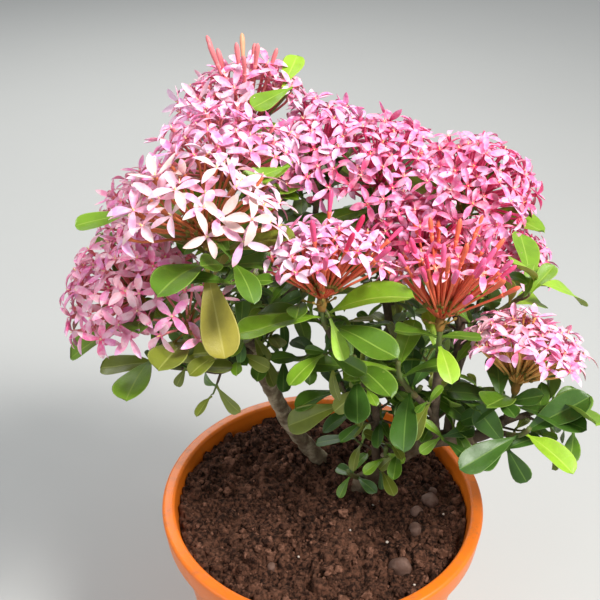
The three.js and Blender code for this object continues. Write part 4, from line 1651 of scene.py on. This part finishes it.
@dataclass
class FloretMaker:
    """Shapes florets: four pointed petals in a cross on a slender tube."""

    petal_length: float = 11.4
    petal_half_width: float = 2.15
    throat_radius: float = 1.0
    rows: tuple[float, ...] = (0, 0.16, 0.34, 0.54, 0.74, 0.9, 1)
    columns: tuple[float, ...] = (-1, -0.55, 0, 0.55, 1)
    blade_rows: int = 3
    half_open_share: float = 0.2
    folded_share: float = 0.15

    BEND = (-1.2, 1.4)
    CUP = (0.1, 0.75)
    SWAY = (-1.3, 1.3)
    LENGTHS = (0.88, 1.1)
    BREADTHS = (0.88, 1.12)
    DROOP = 1.5
    RAISED = (-6.5, -3)
    FOLDED = (3, 5)
    TURN = (-0.16, 0.16)
    EYE_RINGS = ((-0.6, 1.0), (0.35, 0.62), (0.8, 0.3), (2.2, 0.22))
    BUD_RINGS = (
        (0, 0.08), (0.12, 0.085), (0.35, 0.10), (0.6, 0.115),
        (0.8, 0.11), (0.92, 0.08), (0.98, 0.04), (1, 0.01),
    )

    def petal(self, droop: float, draws: Draws) -> Shape:
        """Shapes one petal that points along +X from the throat.

        Args:
            droop: How far its tip falls, in millimetres; less than 0 where it rises.
            draws: Draws for its bend and curl.

        Returns:
            The petal.
        """
        bend = droop + draws.between(*self.BEND)
        cup, sway = draws.between(*self.CUP), draws.between(*self.SWAY)
        length = self.petal_length * draws.between(*self.LENGTHS)
        half = self.petal_half_width * draws.between(*self.BREADTHS)
        share, column = np.array(self.rows)[:, None], np.array(self.columns)
        width = np.maximum(half * np.sin(math.pi * share**1.05) ** 0.75, 0.62 * (1 - share) ** 2)
        width[-1] = 0
        lift = 1.3 * np.sin(share * 2.2) - bend * share**2
        sheet = (
            self.throat_radius * 0.7 + share * length + 0 * column,
            width * column + sway * share**2,
            lift + cup * width * column**2,
        )
        points = np.stack(sheet, axis=-1).reshape(-1, 3)
        count = len(self.columns)
        tip = (len(self.rows) - 1) * count
        faces = quads(np.arange(tip).reshape(-1, count)[:, ::-1])
        faces += [(tip - count + k, tip, tip - count + k + 1) for k in range(count - 1)]
        tones = [self.zone(row) for row in range(len(self.rows) - 1) for _ in range(count - 1)]
        return Shape(points[: tip + 1], faces, tones)

    def zone(self, row: int) -> PetalZone:
        """Names the zone of a petal's row of faces."""
        # The outer rows take the paler edge tone and the first row the deeper throat tone: partly
        # petal colour, partly painted highlight and painted shade.
        outer = PetalZone.EDGE if row > self.blade_rows else PetalZone.BLADE
        return outer if row else PetalZone.THROAT

    def eye(self) -> Shape:
        """Shapes the small ring of anthers and the style in the throat.

        Returns:
            The shape, with a ring of the throat's tone at its foot.
        """
        sides = 6
        shape = capped(self.EYE_RINGS, sides)
        inner = len(shape.faces) - sides
        shape.tones = [PetalZone.THROAT] * sides + [PetalZone.EYE] * inner
        return shape

    def floret(self, draws: Draws) -> list[Shape]:
        """Shapes a floret with its throat at the origin, facing +Z.

        Args:
            draws: Its series of draws.

        Returns:
            Its petals and its eye.
        """
        openness = draws.between(0, 1)
        droop = self.DROOP
        if openness < self.half_open_share:
            droop = draws.between(*self.RAISED)
        elif openness > 1 - self.folded_share:
            droop = draws.between(*self.FOLDED)
        shapes = []
        for k in range(4):
            angle = k * math.pi / 2 + draws.between(*self.TURN)
            cos, sin = math.cos(angle), math.sin(angle)
            axes = np.array(((cos, sin, 0), (-sin, cos, 0), (0, 0, 1)))
            shapes.append(self.petal(droop, draws).placed(np.zeros(3), axes))
        return [*shapes, self.eye()]

    def bud(self) -> Shape:
        """Shapes a closed bud of length 1 that points along +Z."""
        return capped(self.BUD_RINGS, 7, twist=0.6)


class Blossom:
    """All flower heads of the crown."""

    CALYX_SHARE = 0.30
    FORK_SHARE = 0.12
    TIERS = (1, 0.86, 0.94)
    JITTER = 0.15
    ODD_PETALS = 0.3
    DEPTHS = (0.94, 1.05)
    TILT = (-0.5, 0.5)
    SKYWARD = 0.25
    BUD_REACH = (1.2, 1.44)
    BUD_LENGTH = (10.0, 13.0)
    TUBE_RINGS = (
        (0, 0.58), (0.25, 0.62), (0.5, 0.64), (0.75, 0.66), (0.88, 0.72), (0.95, 1.05), (1, 1.28),
    )
    CUP_RINGS = ((0, 0.62), (0.3, 0.94), (0.6, 1.0), (1, 0.62))
    CUP_LINE = (-1.6, -1, 0, 1.2)
    BRANCH_RINGS = ((0, 0.62), (0.5, 0.56), (1, 0.5))
    SPENT_RINGS = ((0, 0.42), (0.35, 0.42), (0.7, 0.45), (0.85, 0.92), (1, 0.47))
    SPENT_SPREAD = 1.6
    SPENT_LENGTH = (7, 13)
    SPENT_RISE = (-1, 1.5)
    SPENT_BOW = (-1, 1)
    KNOB_LINE = (-3, -1, 1, 5)
    NUMBER_JITTER = (-0.6, 0.4)
    STALK_TONE = len(PINKS)
    CALYX_TONE = len(PINKS) + 1

    def __init__(self, crown: Crown) -> None:
        """Takes the grown crown.

        Args:
            crown: The crown.
        """
        self.crown = crown
        self.maker = FloretMaker()
        self.petals = Batch("petals")
        self.tubes = Batch("flower_tubes")
        self.stalks = Batch("flower_stalks")
        self.count = 0

    def cap_direction(self, axis: Array, spread: float, share: float, angle: float) -> Array:
        """Gives a direction on a cap round an axis, with this share of its area inside."""
        rise = 1 - (1 - math.cos(spread)) * share
        return axis * rise + math.sqrt(1 - rise * rise) * sideways(axis, angle)

    def add_floret(self, shoot: Shoot, i: int, direction: Array, draws: Draws) -> None:
        """Adds one floret with its tube and stalk.

        Args:
            shoot: Its shoot.
            i: Its number in the head.
            direction: Which way it stands out of the hub.
            draws: The head's series of draws.
        """
        tier = self.TIERS[i % len(self.TIERS)]
        centre = shoot.centre + direction * shoot.space * tier * draws.between(*self.DEPTHS)
        if not self.crown.owns(shoot, centre):
            return
        blend = shoot.head.colour.value
        side, across = square_to(direction)
        tilt = side * draws.between(*self.TILT) + across * draws.between(*self.TILT)
        facing = unit(direction + tilt + UP * self.SKYWARD)
        side = sideways(facing, draws.between(0, math.pi / 2))
        axes = np.array((side, np.cross(facing, side), facing)) * shoot.head.size
        throat = self.pick(blend.throats, draws)
        blade, edge = self.pick(blend.blades, draws), self.pick(blend.edges, draws)
        for part in self.maker.floret(draws):
            odd = draws.between(0, 1) < self.ODD_PETALS
            own = self.pick(blend.blades, draws) if odd else blade
            tones = [PINKS.index(pink) for pink in (throat, own, edge, Pink.POLLEN)]
            self.petals.add(part.placed(centre, axes), tones)
        self.add_tube(shoot, direction, centre, facing)
        self.count += 1

    def pick(self, pinks: Sequence[Pink], draws: Draws) -> Pink:
        """Draws one of several pinks."""
        return pinks[int(draws.between(0, len(pinks)))]

    def add_tube(self, shoot: Shoot, direction: Array, end: Array, facing: Array) -> None:
        """Adds the corolla tube, its calyx and its stalk.

        Args:
            shoot: Its shoot.
            direction: Which way it stands out of the hub.
            end: Where the tube opens.
            facing: Which way its mouth faces.
        """
        tone = PINKS.index(shoot.head.colour.value.tube)
        hub, reach = shoot.centre, shoot.space
        calyx = hub + direction * reach * self.CALYX_SHARE + shoot.axis * reach * 0.04
        pull = np.linalg.norm(end - calyx) / 3
        line = Bend(calyx, calyx + direction * pull, end - facing * pull, end)
        self.tubes.add(tapered(line, self.TUBE_RINGS, 6), (tone,))
        cup = Bend(*(calyx + direction * along for along in self.CUP_LINE))
        self.stalks.add(tapered(cup, self.CUP_RINGS, 6), (self.CALYX_TONE,))
        fork = hub + unit(shoot.axis + direction) * reach * self.FORK_SHARE
        branch = Bend(fork, mix(fork, calyx, 0.3), mix(fork, calyx, 0.7), calyx)
        self.stalks.add(tapered(branch, self.BRANCH_RINGS, 5), (tone,))

    def add_bud(self, shoot: Shoot, direction: Array, draws: Draws) -> None:
        """Adds an unopened bud with its tube.

        Args:
            shoot: Its shoot.
            direction: Which way it stands out of the hub.
            draws: The head's series of draws.
        """
        length = draws.between(*self.BUD_LENGTH)
        tip = shoot.centre + direction * shoot.space * draws.between(*self.BUD_REACH)
        foot = tip - direction * length
        side, across = square_to(direction)
        axes = np.array((side, across, direction)) * length
        pink = self.pick(shoot.head.colour.value.buds, draws)
        self.tubes.add(self.maker.bud().placed(foot, axes), (PINKS.index(pink),))
        self.add_tube(shoot, direction, foot + direction * 0.8, direction)

    def add_spent(self, shoot: Shoot, i: int, draws: Draws) -> None:
        """Adds a short stalk whose flower has dropped, with its calyx.

        Args:
            shoot: Its shoot.
            i: Its number in the head.
            draws: The head's series of draws.
        """
        share = draws.between(0, 1)
        direction = self.cap_direction(shoot.axis, self.SPENT_SPREAD, share, i * GOLDEN_ANGLE)
        start = shoot.centre + direction * 2
        end = shoot.centre + direction * draws.between(*self.SPENT_LENGTH)
        end = end + UP * draws.between(*self.SPENT_RISE)
        bow = mix(start, end, 0.5) + shoot.axis * draws.between(*self.SPENT_BOW)
        stem = tapered(Bend(start, bow, bow, end), self.SPENT_RINGS, 5, second_from=0.6)
        self.stalks.add(stem, (self.STALK_TONE, self.CALYX_TONE))

    def add_knob(self, shoot: Shoot) -> None:
        """Adds the swollen, softly ribbed end of the twig under the head.

        Args:
            shoot: The shoot.
        """
        line = Bend(*(shoot.centre + shoot.axis * along for along in self.KNOB_LINE))
        share, angle = grid(8, 9)
        radii = 1.5 + 1.2 * np.sin(math.pi * share) + 0.3 * np.sin(3 * angle)
        self.stalks.add(swept(line, share.ravel(), radii), (self.STALK_TONE,))

    def build_head(self, shoot: Shoot) -> None:
        """Builds one flower head on the source's dome.

        Args:
            shoot: Its shoot.
        """
        head = shoot.head
        draws = Draws(shoot.seed + 5)
        for i in range(head.florets):
            angle = shoot.dial_start + i * GOLDEN_ANGLE
            angle += draws.between(-self.JITTER, self.JITTER)
            share = (max(0.0, i + draws.between(*self.NUMBER_JITTER)) + 0.5) / head.florets
            direction = self.cap_direction(shoot.axis, head.spread, share, angle)
            if not shoot.is_bare(direction):
                self.add_floret(shoot, i, direction, draws)
        bud_axis = unit((*head.bud_lean, 1.0)) if head.bud_lean else shoot.axis
        for i in range(head.buds):
            angle = shoot.dial_start + i * GOLDEN_ANGLE
            share = (i + 0.5) / head.buds
            direction = self.cap_direction(bud_axis, head.bud_spread, share, angle)
            self.add_bud(shoot, direction, draws)
        for i in range(head.spent):
            self.add_spent(shoot, i, draws)
        self.add_knob(shoot)

    def build(self) -> list[Piece]:
        """Builds all heads.

        Returns:
            The pieces: petals, tubes and stalks.
        """
        for shoot in FLOWERING:
            self.build_head(shoot)
        tubes = [dyed(TUBE, pink, tinted(pink.value, 0.72)) for pink in PINKS]
        petals = self.petals.build([dyed(PETAL, pink, paler(pink.value, 0.5)) for pink in PINKS])
        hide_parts(*(shoot.name for shoot in FLOWERING))
        stalks = self.stalks.build((*tubes, FLOWER_STALK, CALYX))
        return [petals, self.tubes.build(tubes), stalks]


@dataclass
class Wood:
    """The stems and boughs, with their bark's relief."""

    stem_sides: int = 30
    bough_sides: int = 18
    step: float = 0.9
    bough_coarser: float = 1.4
    bough_roughness: float = 0.55
    lump_height: float = 0.45
    furrow_depth: float = 0.42
    grit_height: float = 0.14
    scar_spacing: float = 8.5
    scar_height: float = 0.34
    scar_width: float = 0.07
    scar_sway: float = 1.6
    ripple: Ripple = field(default_factory=lambda: Ripple(11))

    FINISHES = {"stem_left": BARK, "stem_right": MOSSY_BARK}
    NOISE_STEP = 13.0

    def radii(self, limb: Limb, share: Array, angle: Array, offset: float) -> Array:
        """Adds furrows, lumps, grit and ring scars to a limb's smooth radius.

        Args:
            limb: The limb.
            share: Shares of its length, as a column.
            angle: Angles round it, as a row.
            offset: Moves the noise, so that each limb has its own.

        Returns:
            The rough radii.
        """
        along = share * limb.curve.length
        turn = angle / (2 * math.pi)
        lumps = self.ripple.at(turn * 5, along / 7 + offset, 5) * self.lump_height
        furrows = self.ripple.at(turn * 16, along / 4.2 + offset + 40, 16)
        grit = self.ripple.at(turn * 28, along / 0.9 + offset + 90, 28) * self.grit_height
        shift = self.ripple.at(turn * 3, along / 20 + offset, 3) * self.scar_sway
        beat = np.abs(((along + shift) / self.scar_spacing) % 1 - 0.5)
        scars = self.scar_height * np.exp(-((beat / self.scar_width) ** 2))
        detail = lumps - self.furrow_depth * np.abs(furrows) + grit + scars
        rough = 1.0 if limb.kind is LimbKind.STEM else self.bough_roughness
        return limb.radius(share) + rough * detail

    def stub(self, limb: Limb, at: float, toward: Point, length: float, thick: float) -> Shape:
        """Shapes a broken side twig.

        Args:
            limb: The limb that it stands on.
            at: Where, by share of the limb's length.
            toward: Which way it points.
            length: Its length from the limb's centre line.
            thick: Its radius.

        Returns:
            The stub, with its broken end as tone 1.
        """
        start = limb.curve.point(at)
        out = unit(toward) * length
        line = Bend(start, start + out / 3, start + out * 2 / 3, start + out)
        share, angle = grid(16, 12)
        foot = np.exp(-share * 5)
        splinter = 0.25 * smooth(0.8, 1, share) * np.sin(5 * angle)
        radii = thick * (1 - 0.2 * share) + foot + splinter
        return swept(line, share.ravel(), radii, second_from=0.93)

    def add_limb(self, batch: Batch, limb: Limb, number: int) -> None:
        """Adds a limb with its stubs to a batch.

        Args:
            batch: The batch.
            limb: The limb.
            number: Its number, which gives it its own relief.
        """
        is_stem = limb.kind is LimbKind.STEM
        sides = self.stem_sides if is_stem else self.bough_sides
        step = self.step if is_stem else self.step * self.bough_coarser
        share, angle = grid(int(limb.curve.length / step), sides)
        radii = self.radii(limb, share, angle, number * self.NOISE_STEP)
        batch.add(swept(limb.curve, share.ravel(), radii))
        for at, toward, length, thick in limb.stubs:
            batch.add(self.stub(limb, at, toward, length, thick))

    def build(self) -> list[Piece]:
        """Builds one piece for each stem and one for all boughs.

        Returns:
            The pieces.
        """
        pieces = []
        for number, stem in enumerate(STEMS):
            batch = Batch(f"{stem.name}_bark")
            self.add_limb(batch, stem, number)
            pieces.append(batch.build((self.FINISHES[stem.name], CUT_WOOD)))
            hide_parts(stem.name)
        boughs = Batch("boughs")
        for number, bough in enumerate(BOUGHS, len(STEMS)):
            self.add_limb(boughs, bough, number)
        pieces.append(boughs.build((DARK_TWIG,)))
        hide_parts(*(bough.name for bough in BOUGHS))
        return pieces


@dataclass
class Pot:
    """The tapered plastic pot with its rolled lip."""

    height: float = 170.0
    rim_radius: float = 100.0
    base_radius: float = 70.0
    wall: float = 2.4
    floor: float = 3.0
    lip_width: float = 8.0
    lip_height: float = 16.0
    skirt_wall: float = 1.7
    skirt_draft: float = 1.5
    edge_round: float = 2.2
    segments: int = 168
    drain_holes: int = 5
    drain_radius: float = 4.5
    drain_circle: float = 45.0
    drain_sides: int = 24
    crease: float = 40.0

    def inner_radius(self, height: Array | float) -> Array | float:
        """Gives the inner radius at a height."""
        share = (height - self.floor) / (self.height - self.floor)
        return mix(self.base_radius - self.wall, self.rim_radius - self.lip_width, share)

    def plate_radius(self) -> float:
        """Gives the radius of the flat floor inside the wall's foot."""
        return self.base_radius - self.wall - 1.5

    def rounded(self, corner: Pair, start: float, end: float, radius: float) -> list[Pair]:
        """Rounds a corner of the profile round a centre, from one angle to another."""
        angles = np.linspace(start, end, 7)
        return [(corner[0] + radius * math.cos(a), corner[1] + radius * math.sin(a)) for a in angles]

    def profile(self) -> list[Pair]:
        """Gives the pot's profile, from the foot up the outside and down the inside.

        Returns:
            Pairs of radius and height.
        """
        skirt_foot = self.height - self.lip_height
        under = self.height - self.wall
        edge = self.edge_round
        right = math.pi / 2
        inside = self.rim_radius - self.lip_width
        foot = self.rim_radius - self.skirt_draft
        outer = np.linspace(0.08, 1, 12)
        wall_top = self.inner_radius(skirt_foot) + self.wall
        points = [(self.plate_radius(), 0.0)]
        points += self.rounded((self.base_radius - edge, edge), -right, 0, edge)
        points += zip(mix(self.base_radius, wall_top, outer), mix(edge, skirt_foot, outer))
        points += [
            (self.inner_radius(under) + self.wall, under),
            (self.rim_radius - self.skirt_wall - 0.2, under),
            (foot - self.skirt_wall, skirt_foot + 0.5),
            (foot - self.skirt_wall * 0.5, skirt_foot),
            (foot, skirt_foot + 0.5),
            (foot + 0.5, skirt_foot + 5),
        ]
        top = self.height - edge
        points += self.rounded((self.rim_radius - edge, top), 0.1, right, edge)
        points += self.rounded((inside + edge, top), right, 2 * right, edge)
        heights = np.linspace(self.height - 8, self.floor + 2, 12)
        points += zip(self.inner_radius(heights), heights)
        return [*points, (self.plate_radius(), self.floor)]

    def plate(self) -> Shape:
        """Shapes the floor plate, with its drain holes, as a filled outline given depth.

        Returns:
            The plate.
        """
        sheet = bmesh.new()
        turns = circle(self.drain_holes) + math.pi / self.drain_holes
        holes = [
            (self.drain_circle * math.cos(a), self.drain_circle * math.sin(a), self.drain_radius)
            for a in turns
        ]
        rings = []
        for x, y, radius in ((0, 0, self.plate_radius()), *holes):
            sides = self.segments if not rings else self.drain_sides
            ring = around((radius,), (0.0,), sides) + (x, y, 0)
            numbers = len(sheet.verts) + np.arange(sides)
            corners = [sheet.verts.new(point) for point in ring]
            for corner, after in zip(corners, [*corners[1:], corners[0]]):
                sheet.edges.new((corner, after))
            rings.append(numbers[::-1] if rings else numbers)
        bmesh.ops.triangle_fill(sheet, edges=sheet.edges[:], use_beauty=True)
        flat = taken(sheet)
        count = len(flat.points)
        faces = [face[::-1] for face in flat.faces]
        faces += [tuple(corner + count for corner in face) for face in flat.faces]
        for numbers in rings:
            faces += ring_quads(np.array((numbers, numbers + count)))
        return Shape(np.vstack((flat.points, flat.points + UP * self.floor)), faces)

    def build(self) -> list[Piece]:
        """Builds the pot.

        Returns:
            The piece.
        """
        batch = Batch("pot_shell")
        batch.add(turned(self.profile(), self.segments))
        batch.add(self.plate())
        piece = batch.build((POT_PLASTIC,))
        piece.data.set_sharp_from_angle(angle=math.radians(self.crease))
        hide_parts("pot")
        return [piece]


def taken(sheet: bmesh.types.BMesh) -> Shape:
    """Takes the points and faces out of a working mesh and frees it.

    Args:
        sheet: The working mesh.

    Returns:
        The shape.
    """
    sheet.verts.index_update()
    points = np.array([tuple(corner.co) for corner in sheet.verts])
    faces = [tuple(corner.index for corner in face.verts) for face in sheet.faces]
    sheet.free()
    return Shape(points, faces)


@dataclass
class Bed:
    """The crumbly soil in the pot, with its clods and pebbles."""

    pot: Pot
    top: float = 160.0
    waves: int = 5
    wave_length: float = 46.0
    wave_height: float = 1.2
    shortening: float = 0.78
    level_radius: float = 16.0
    cells: int = 280
    pixel: float = 0.45
    crumbs: int = 15000
    clods: int = 1500
    grit_bits: int = 9
    seed: int = 23

    PEBBLES = (
        (68.0, 2.0, 5.0), (59.0, -9.0, 4.2), (57.0, -23.0, 4.0),
        (45.0, -52.0, 6.0), (71.0, 11.0, 3.0), (-31.0, -52.0, 2.4),
    )
    PEBBLE_ROUGH = 0.3
    PEBBLE_SINK = 0.55
    LARGE_CLOD = 1.6
    ROUGH = 0.8
    CLOD_SINK = 0.45
    GRIT = (0.5, 1.0)
    GRIT_ROUGH = 0.4
    GRIT_SINK = 0.2
    DRY_SHARE = 0.4
    FINER = ((9.0, 1.3, 90), (4.5, 1.0, 60), (2.2, 0.6, 110), (1.4, 0.45, 30))

    def __post_init__(self) -> None:
        """Draws the height map of the soil's surface."""
        self.random = np.random.default_rng(self.seed)
        self.radius = self.pot.inner_radius(self.top) - 0.5
        self.size = int(2 * (self.radius + 6) / self.pixel)
        axis = (np.arange(self.size) - self.size / 2) * self.pixel
        x, y = np.meshgrid(axis, axis)
        ripple = Ripple(self.seed)
        self.map = self.lumps(x, y)
        for length, height, shift in self.FINER:
            self.map += height * ripple.at(x / length + shift, y / length + 150 - shift)
        for _ in range(self.crumbs):
            self.stamp_crumb()

    def lumps(self, x: Array, y: Array) -> Array:
        """Gives the broad lumps by the source's rule; none near a stem's foot.

        Args:
            x: Places along X.
            y: Places along Y.

        Returns:
            The heights over the soil's level.
        """
        feet = [limb.route[1] for limb in STEMS]
        away = np.min([np.hypot(x - foot[0], y - foot[1]) for foot in feet], axis=0)
        height = np.zeros_like(x)
        for wave in range(self.waves):
            scale = self.shortening**wave
            turn = wave * GOLDEN_ANGLE
            along = x * math.cos(turn) + y * math.sin(turn)
            phase = 2 * math.pi * along / (self.wave_length * scale) + wave * wave
            height += self.wave_height * scale * np.sin(phase)
        return smooth(self.level_radius, 2 * self.level_radius, away) * height

    def stamp_crumb(self) -> None:
        """Raises the map by one rounded crumb at a random place."""
        radius = 0.5 + 3.2 * self.random.random() ** 5
        reach = int(radius / self.pixel) + 1
        column = self.random.integers(reach, self.size - reach)
        row = self.random.integers(reach, self.size - reach)
        span = np.arange(-reach, reach + 1) * self.pixel
        stretch = self.random.uniform(0.7, 1.3)
        away = (span[None, :] * stretch) ** 2 + (span[:, None] / stretch) ** 2
        cap = np.sqrt(np.maximum(radius**2 - away, 0)) * self.random.uniform(0.6, 1.2)
        window = self.map[row - reach : row + reach + 1, column - reach : column + reach + 1]
        level = window[reach, reach] - radius * 0.3
        np.maximum(window, np.where(cap > 0, level + cap, -99), out=window)

    def height(self, x: Array, y: Array) -> Array:
        """Reads the soil's height at places.

        Args:
            x: Places along X.
            y: Places along Y.

        Returns:
            The heights.
        """
        column = np.clip(np.asarray(x) / self.pixel + self.size / 2, 0, self.size - 2)
        row = np.clip(np.asarray(y) / self.pixel + self.size / 2, 0, self.size - 2)
        c, r = column.astype(int), row.astype(int)
        across, along = column - c, row - r
        near = mix(self.map[r, c], self.map[r, c + 1], across)
        far = mix(self.map[r + 1, c], self.map[r + 1, c + 1], across)
        return self.top - 0.6 + mix(near, far, along)

    def surface(self) -> Shape:
        """Shapes the soil body: a fine surface on a plain closed plug.

        Returns:
            The closed body.
        """
        steps = np.linspace(-1, 1, self.cells + 1)
        a, b = np.meshgrid(steps, steps)
        wide = np.abs(a) > np.abs(b)
        reach, other = np.where(wide, a, b), np.where(wide, b, a)
        turn = math.pi / 4 * other / np.where(reach == 0, 1, reach)
        x = self.radius * reach * np.where(wide, np.cos(turn), np.sin(turn))
        y = self.radius * reach * np.where(wide, np.sin(turn), np.cos(turn))
        z = self.height(x, y) - smooth(self.radius - 5, self.radius, np.hypot(x, y))
        return self.with_plug(np.stack((x, y, z), axis=-1))

    def with_plug(self, top: Array) -> Shape:
        """Closes the surface with the soil's side and underside.

        Args:
            top: The surface's points, by row and column.

        Returns:
            The closed body.
        """
        numbers = np.arange(top.shape[0] * top.shape[1]).reshape(top.shape[:2])
        faces = quads(numbers)
        points = top.reshape(-1, 3)
        border = [*numbers[0], *numbers[1:, -1], *numbers[-1, -2::-1], *numbers[-2:0:-1, 0]]
        edge = points[border]
        foot_level = self.pot.floor + 0.3
        foot_radius = self.pot.inner_radius(foot_level) - 2
        foot = edge * foot_radius / np.linalg.norm(edge[:, :2], axis=1, keepdims=True)
        foot[:, 2] = foot_level
        around_foot = len(points) + np.arange(len(border))
        faces += ring_quads(np.array((around_foot, border)))
        faces.append(tuple(reversed(around_foot.tolist())))
        return Shape(np.vstack((points, foot)), faces)

    def lump(self, radius: float, levels: int, rough: float) -> Shape:
        """Shapes an irregular rounded lump round the origin.

        Args:
            radius: Its mean radius.
            levels: How finely it is divided.
            rough: How uneven it is, as a share of the radius.

        Returns:
            The lump.
        """
        ball = bmesh.new()
        bmesh.ops.create_icosphere(ball, subdivisions=levels, radius=1.0)
        shape = taken(ball)
        waves = self.random.normal(size=(6, 3)) * (1.0 + 3.5 * rough)
        phases = self.random.uniform(0, 2 * math.pi, 6)
        bumps = np.sin(shape.points @ waves.T + phases).mean(axis=1)
        stretch = self.random.uniform(0.75, 1.2, 3)
        shape.points *= (1 + rough * bumps)[:, None] * stretch * radius
        return shape

    def scatter(self, batch: Batch, shape: Shape, x: float, y: float, sink: float) -> None:
        """Lays a lump on the soil, with this share of its height sunk in."""
        lift = float(self.height(x, y)) + float(shape.points[:, 2].max()) * (1 - 2 * sink)
        batch.add(Shape(shape.points + (x, y, lift), shape.faces, shape.tones))

    def place_in_bed(self, margin: float) -> Pair:
        """Draws a random place on the soil.

        Args:
            margin: How far from the wall it has to be.

        Returns:
            Its X and Y.
        """
        reach = (self.radius - margin) * math.sqrt(self.random.random())
        angle = self.random.uniform(0, 2 * math.pi)
        return reach * math.cos(angle), reach * math.sin(angle)

    def is_open(self, place: Pair) -> bool:
        """Tells whether a place on the soil has no pebble."""
        return all(math.dist(place, (x, y)) > radius + 2 for x, y, radius in self.PEBBLES)

    def build(self) -> list[Piece]:
        """Builds the soil and what lies on it.

        Returns:
            The pieces.
        """
        soil = Batch("soil_bed")
        soil.add(self.surface())
        clods = Batch("soil_clods")
        for _ in range(self.clods):
            radius = 0.6 + 2.2 * self.random.random() ** 4
            levels = 3 if radius > self.LARGE_CLOD else 2
            lump, place = self.lump(radius, levels, self.ROUGH), self.place_in_bed(radius + 1)
            lump.tones = [int(self.random.random() < self.DRY_SHARE)] * len(lump.faces)
            if self.is_open(place):
                self.scatter(clods, lump, *place, self.CLOD_SINK)
        pebbles = Batch("soil_pebbles")
        for x, y, radius in self.PEBBLES:
            pebble = self.lump(radius, 4, self.PEBBLE_ROUGH)
            self.scatter(pebbles, pebble, x, y, self.PEBBLE_SINK)
        grit = Batch("pale_grit_bits")
        for _ in range(self.grit_bits):
            lump = self.lump(self.random.uniform(*self.GRIT), 2, self.GRIT_ROUGH)
            self.scatter(grit, lump, *self.place_in_bed(4), self.GRIT_SINK)
        bed = soil.build((SOIL,))
        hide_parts("soil")
        loose = ((clods, (CLOD, DRY_CLOD)), (pebbles, (PEBBLE,)), (grit, (PALE_GRIT,)))
        return [bed, *(batch.build(finishes) for batch, finishes in loose)]


@dataclass
class Studio:
    """The pale floor, the soft lights and the camera."""

    floor_size: float = 60_000.0
    floor_colour: Colour = (0.52, 0.53, 0.52)
    aim: Point = (0, 0, 0.25)
    camera_place: Point = (-0.014, -0.450, 0.607)
    camera_pitch: float = 57.0
    lens: float = 58.8
    world_colour: Colour = (0.93, 0.96, 1.0)
    world_strength: float = 0.42

    LIGHTS = (
        ("key", (0.70, -0.50, 1.40), 0.35, 28, (1.0, 0.97, 0.93)),
        ("fill", (-1.1, -0.7, 0.9), 1.2, 6, (0.93, 0.96, 1.0)),
        ("back", (-0.3, 1.2, 1.1), 0.9, 10, (1.0, 0.99, 0.96)),
    )

    def build_floor(self) -> None:
        """Lays the floor."""
        half = self.floor_size / 2
        corners = np.array(((-half, -half, 0), (half, -half, 0), (half, half, 0), (-half, half, 0)))
        batch = Batch("studio_floor")
        batch.add(Shape(corners, [(0, 1, 2, 3)]))
        finish = Finish(
            "pale_floor", self.floor_colour, tinted(self.floor_colour, 0.97), patch_scale=3.0,
            dull=0.8, relief=0.0001, specular=0.2,
        )
        batch.build((finish,))

    def add_light(self, name: str, place: Point, size: float, power: float, colour: Colour) -> None:
        """Adds a soft square light that faces the plant.

        Args:
            name: The light's name.
            place: Where it hangs, in metres.
            size: Its side, in metres.
            power: Its power in watts.
            colour: Its colour.
        """
        data = bpy.data.lights.new(name, "AREA")
        data.shape = "SQUARE"
        data.size = size
        data.energy = power
        data.color = colour
        lamp = linked(name, data)
        lamp.location = place
        toward = Vector(self.aim) - lamp.location
        lamp.rotation_euler = toward.to_track_quat("-Z", "Y").to_euler()

    def build_world(self) -> None:
        """Sets the even surrounding light."""
        world = bpy.data.worlds.new("soft_room")
        world.use_nodes = True
        background = world.node_tree.nodes["Background"]
        background.inputs["Color"].default_value = opaque(self.world_colour)
        background.inputs["Strength"].default_value = self.world_strength
        bpy.context.scene.world = world

    def build_camera(self) -> None:
        """Sets the camera at the photo's viewing angle."""
        data = bpy.data.cameras.new("view")
        data.sensor_width = 36
        data.lens = self.lens
        data.clip_start = 0.01
        data.dof.use_dof = False
        camera = linked("view", data)
        camera.location = self.camera_place
        camera.rotation_euler = (math.radians(self.camera_pitch), 0, 0)
        bpy.context.scene.camera = camera

    def build(self) -> None:
        """Builds floor, lights and camera."""
        self.build_floor()
        for light in self.LIGHTS:
            self.add_light(*light)
        self.build_world()
        self.build_camera()
        bpy.context.scene.view_settings.view_transform = "Standard"


def carry(pieces: Iterable[Piece]) -> None:
    """Lets pieces ride on the plant's one body, and reports each.

    Args:
        pieces: The finished pieces.
    """
    for piece in pieces:
        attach(piece, BODY)
        LOG.info("%s: %d faces", piece.name, len(piece.data.polygons))


def main() -> None:
    """Builds the potted plant and its studio."""
    logging.basicConfig(level=logging.INFO, format="%(message)s")
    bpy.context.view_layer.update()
    Studio().build()
    pot, crown = Pot(), Crown()
    foliage, blossom = Foliage(crown), Blossom(crown)
    carry(pot.build())
    carry(Bed(pot).build())
    carry(Wood().build())
    carry(foliage.build())
    carry(blossom.build())
    LOG.info("%d leaves, %d florets", foliage.count, blossom.count)
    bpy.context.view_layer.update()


if __name__ == "__main__":
    main()
